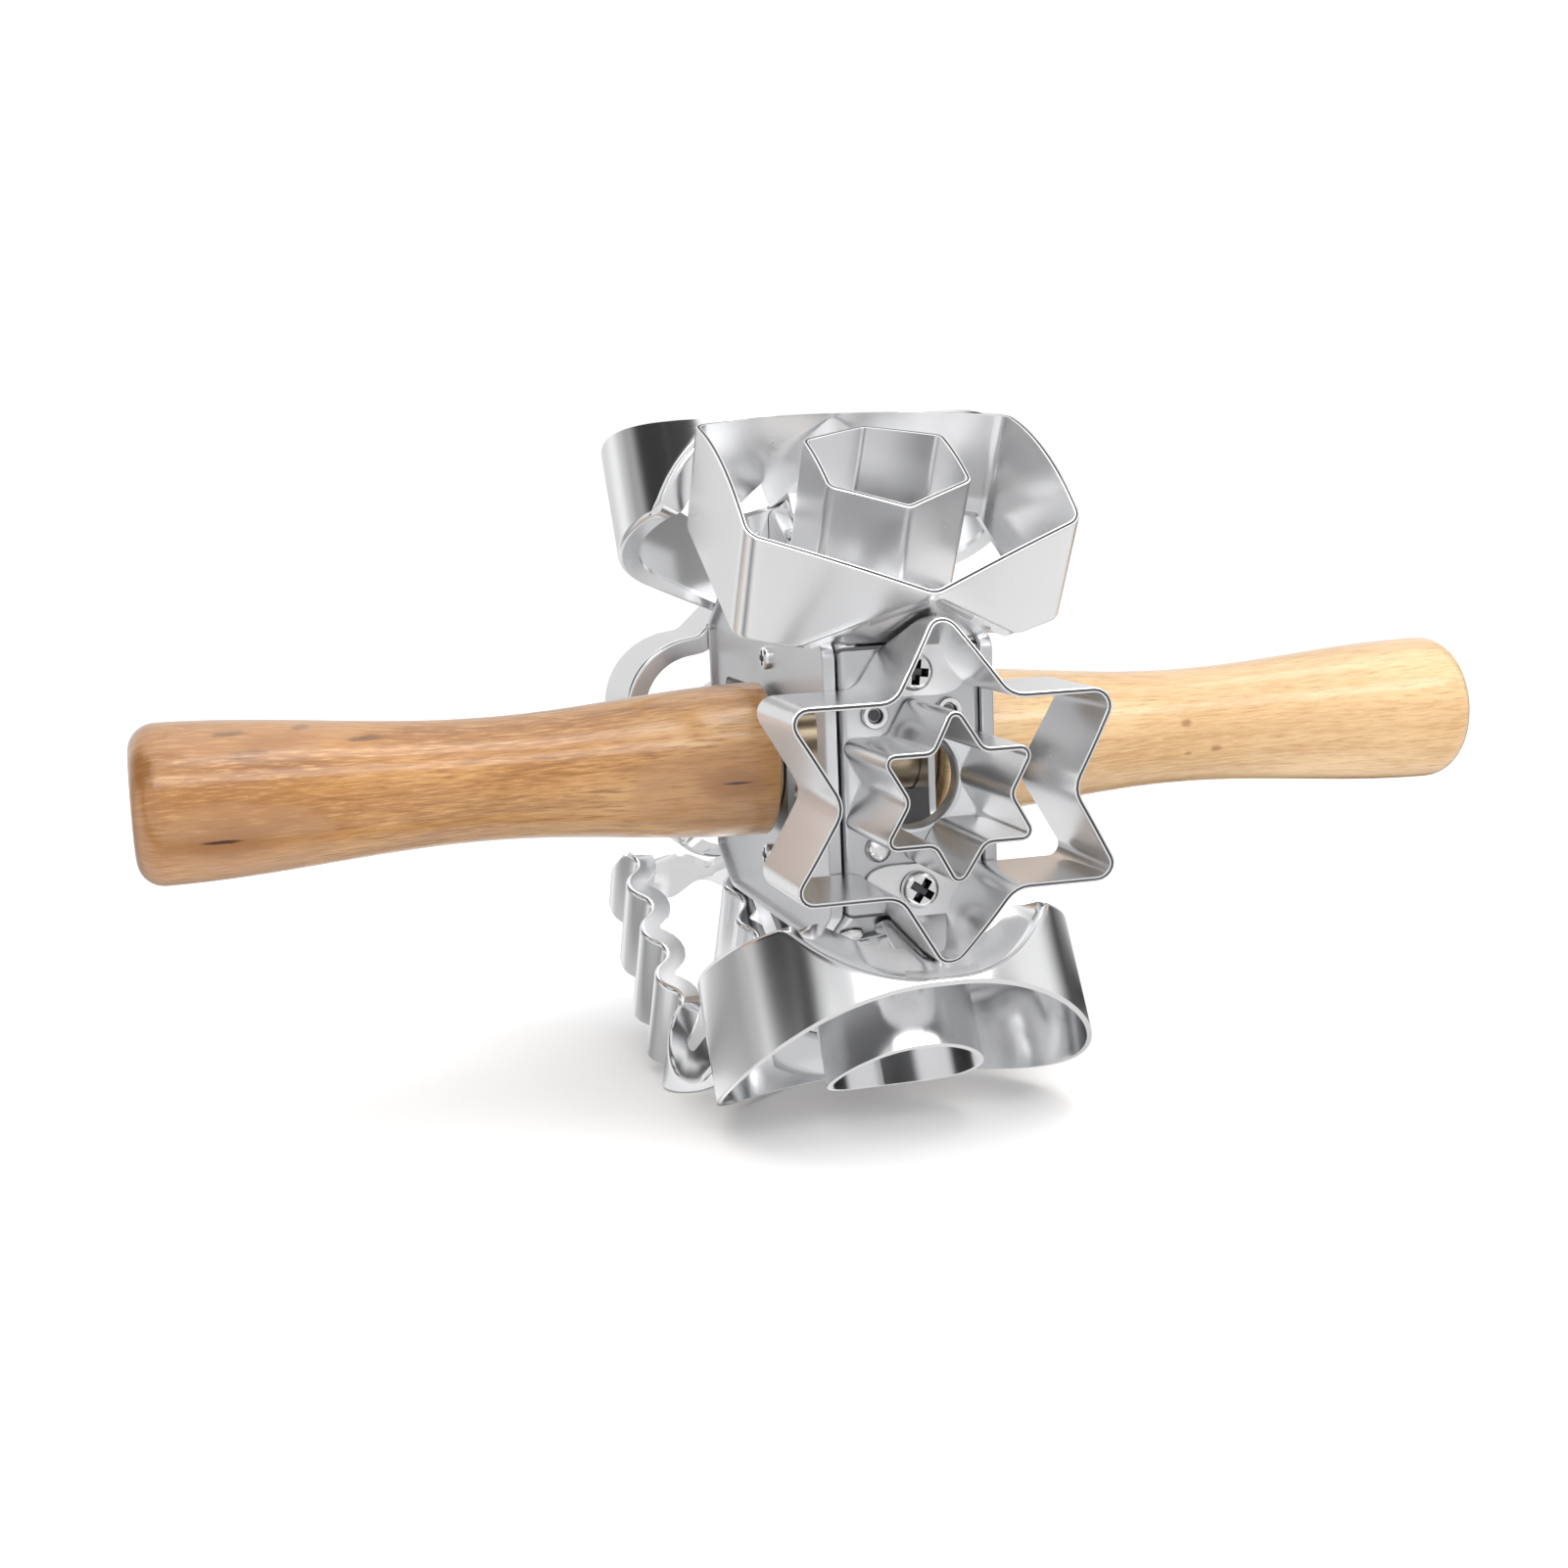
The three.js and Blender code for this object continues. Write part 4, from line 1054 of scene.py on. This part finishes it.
# pale floor under the roller
floorForm = {"radius": 12.0, "sides": 96, "gap": 0.0004, "seen": (0.94, 0.94, 0.94, 1),
             "cloud": (0.92, 0.92, 0.92, 1), "cloudScale": 3, "cloudRange": (0.3, 0.7), "roughness": 0.85,
             "mirroredStrength": 0.95}


def addFloor():
    material, tree, shader, vector = newMaterial("paleFloor", {"Roughness": floorForm["roughness"]})
    cloud = stretchedNoise(tree, vector, scale=floorForm["cloudScale"])
    mask = remap(tree, cloud, *floorForm["cloudRange"])
    seen = mixColour(tree, mask, floorForm["seen"], floorForm["cloud"])
    tree.links.new(seen, shader.inputs["Base Color"])
    glow = {"Color": panelTone(tree, vector), "Strength": floorForm["mirroredStrength"]}
    panels = addNode(tree, "ShaderNodeEmission", glow).outputs["Emission"]
    glossyRay = addNode(tree, "ShaderNodeLightPath").outputs["Is Glossy Ray"]
    either = addNode(tree, "ShaderNodeMixShader", {0: glossyRay, 1: shader.outputs["BSDF"], 2: panels})
    tree.links.new(either.outputs["Shader"], tree.nodes["Material Output"].inputs["Surface"])
    bm = bmesh.new()
    bmesh.ops.create_circle(bm, cap_ends=True, segments=floorForm["sides"], radius=floorForm["radius"])
    moveAll(bm, (0, 0, cadBox[0][2] - floorForm["gap"]))
    floor = meshObject(bm, "paleFloor", [material])


addFloor()


# studio: soft boxes, of which two show in the steel and the varnish, and an even light
softBoxes = [
    {"name": "keyBox", "at": (-1.1, -0.9, 1.2), "size": (1.3, 1.3), "power": 5.5, "mirrored": False},
    {"name": "fillBox", "at": (1.5, -0.6, 0.7), "size": (1.2, 1.2), "power": 4, "mirrored": False},
    {"name": "stripBox", "at": (0.15, -0.95, 0.82), "size": (1.5, 0.3), "power": 3.6, "mirrored": True},
    {"name": "overheadBox", "at": (0.2, -0.18, 0.95), "size": (0.9, 0.25), "power": 1.6, "mirrored": True},
]
evenLight = {"strength": 1.28, "angle": 70, "tilt": (0.3, 0.2, 0.0)}


def addLight(name, kind, power, turn, mirrored):
    data = bpy.data.lights.new(name, kind)
    data.energy = power
    light = addObject(name, data)
    light.matrix_world = turn
    light.visible_glossy = mirrored
    return data


def addLights():
    for box in softBoxes:
        place = Vector(box["at"])
        aim = (place * -1).to_track_quat("-Z", "Y").to_matrix().to_4x4()
        data = addLight(box["name"], "AREA", box["power"], Matrix.Translation(place) @ aim, box["mirrored"])
        data.shape = "RECTANGLE"
        data.size, data.size_y = box["size"]
    tilt = Euler(evenLight["tilt"]).to_matrix().to_4x4()
    data = addLight("evenLight", "SUN", evenLight["strength"], tilt, False)
    data.angle = math.radians(evenLight["angle"])


def addSurround():
    world = bpy.data.worlds.new("studio")
    bpy.context.scene.world = world
    world.use_nodes = True
    tree = world.node_tree
    background = tree.nodes["Background"]
    background.inputs["Strength"].default_value = surround["strength"]
    direction = addNode(tree, "ShaderNodeTexCoord").outputs["Generated"]
    rise = remap(tree, splitVector(tree, direction)["Z"], *surround["overheadRise"], smooth=True)
    reflected = mixColour(tree, rise, panelTone(tree, direction), surround["overhead"])
    for aim, edge in surround["cards"]:
        sides = {0: direction, 1: Vector(aim).normalized()}
        towards = addNode(tree, "ShaderNodeVectorMath", sides, operation="DOT_PRODUCT").outputs["Value"]
        card = remap(tree, towards, *edge, smooth=True)
        reflected = mixColour(tree, card, reflected, surround["cardTone"])
    cameraRay = addNode(tree, "ShaderNodeLightPath").outputs["Is Camera Ray"]
    seen = mixColour(tree, cameraRay, reflected, surround["backdrop"])
    tree.links.new(seen, background.inputs["Color"])


addLights()
addSurround()
bpy.context.scene.view_settings.view_transform = "Standard"
print("studio made")
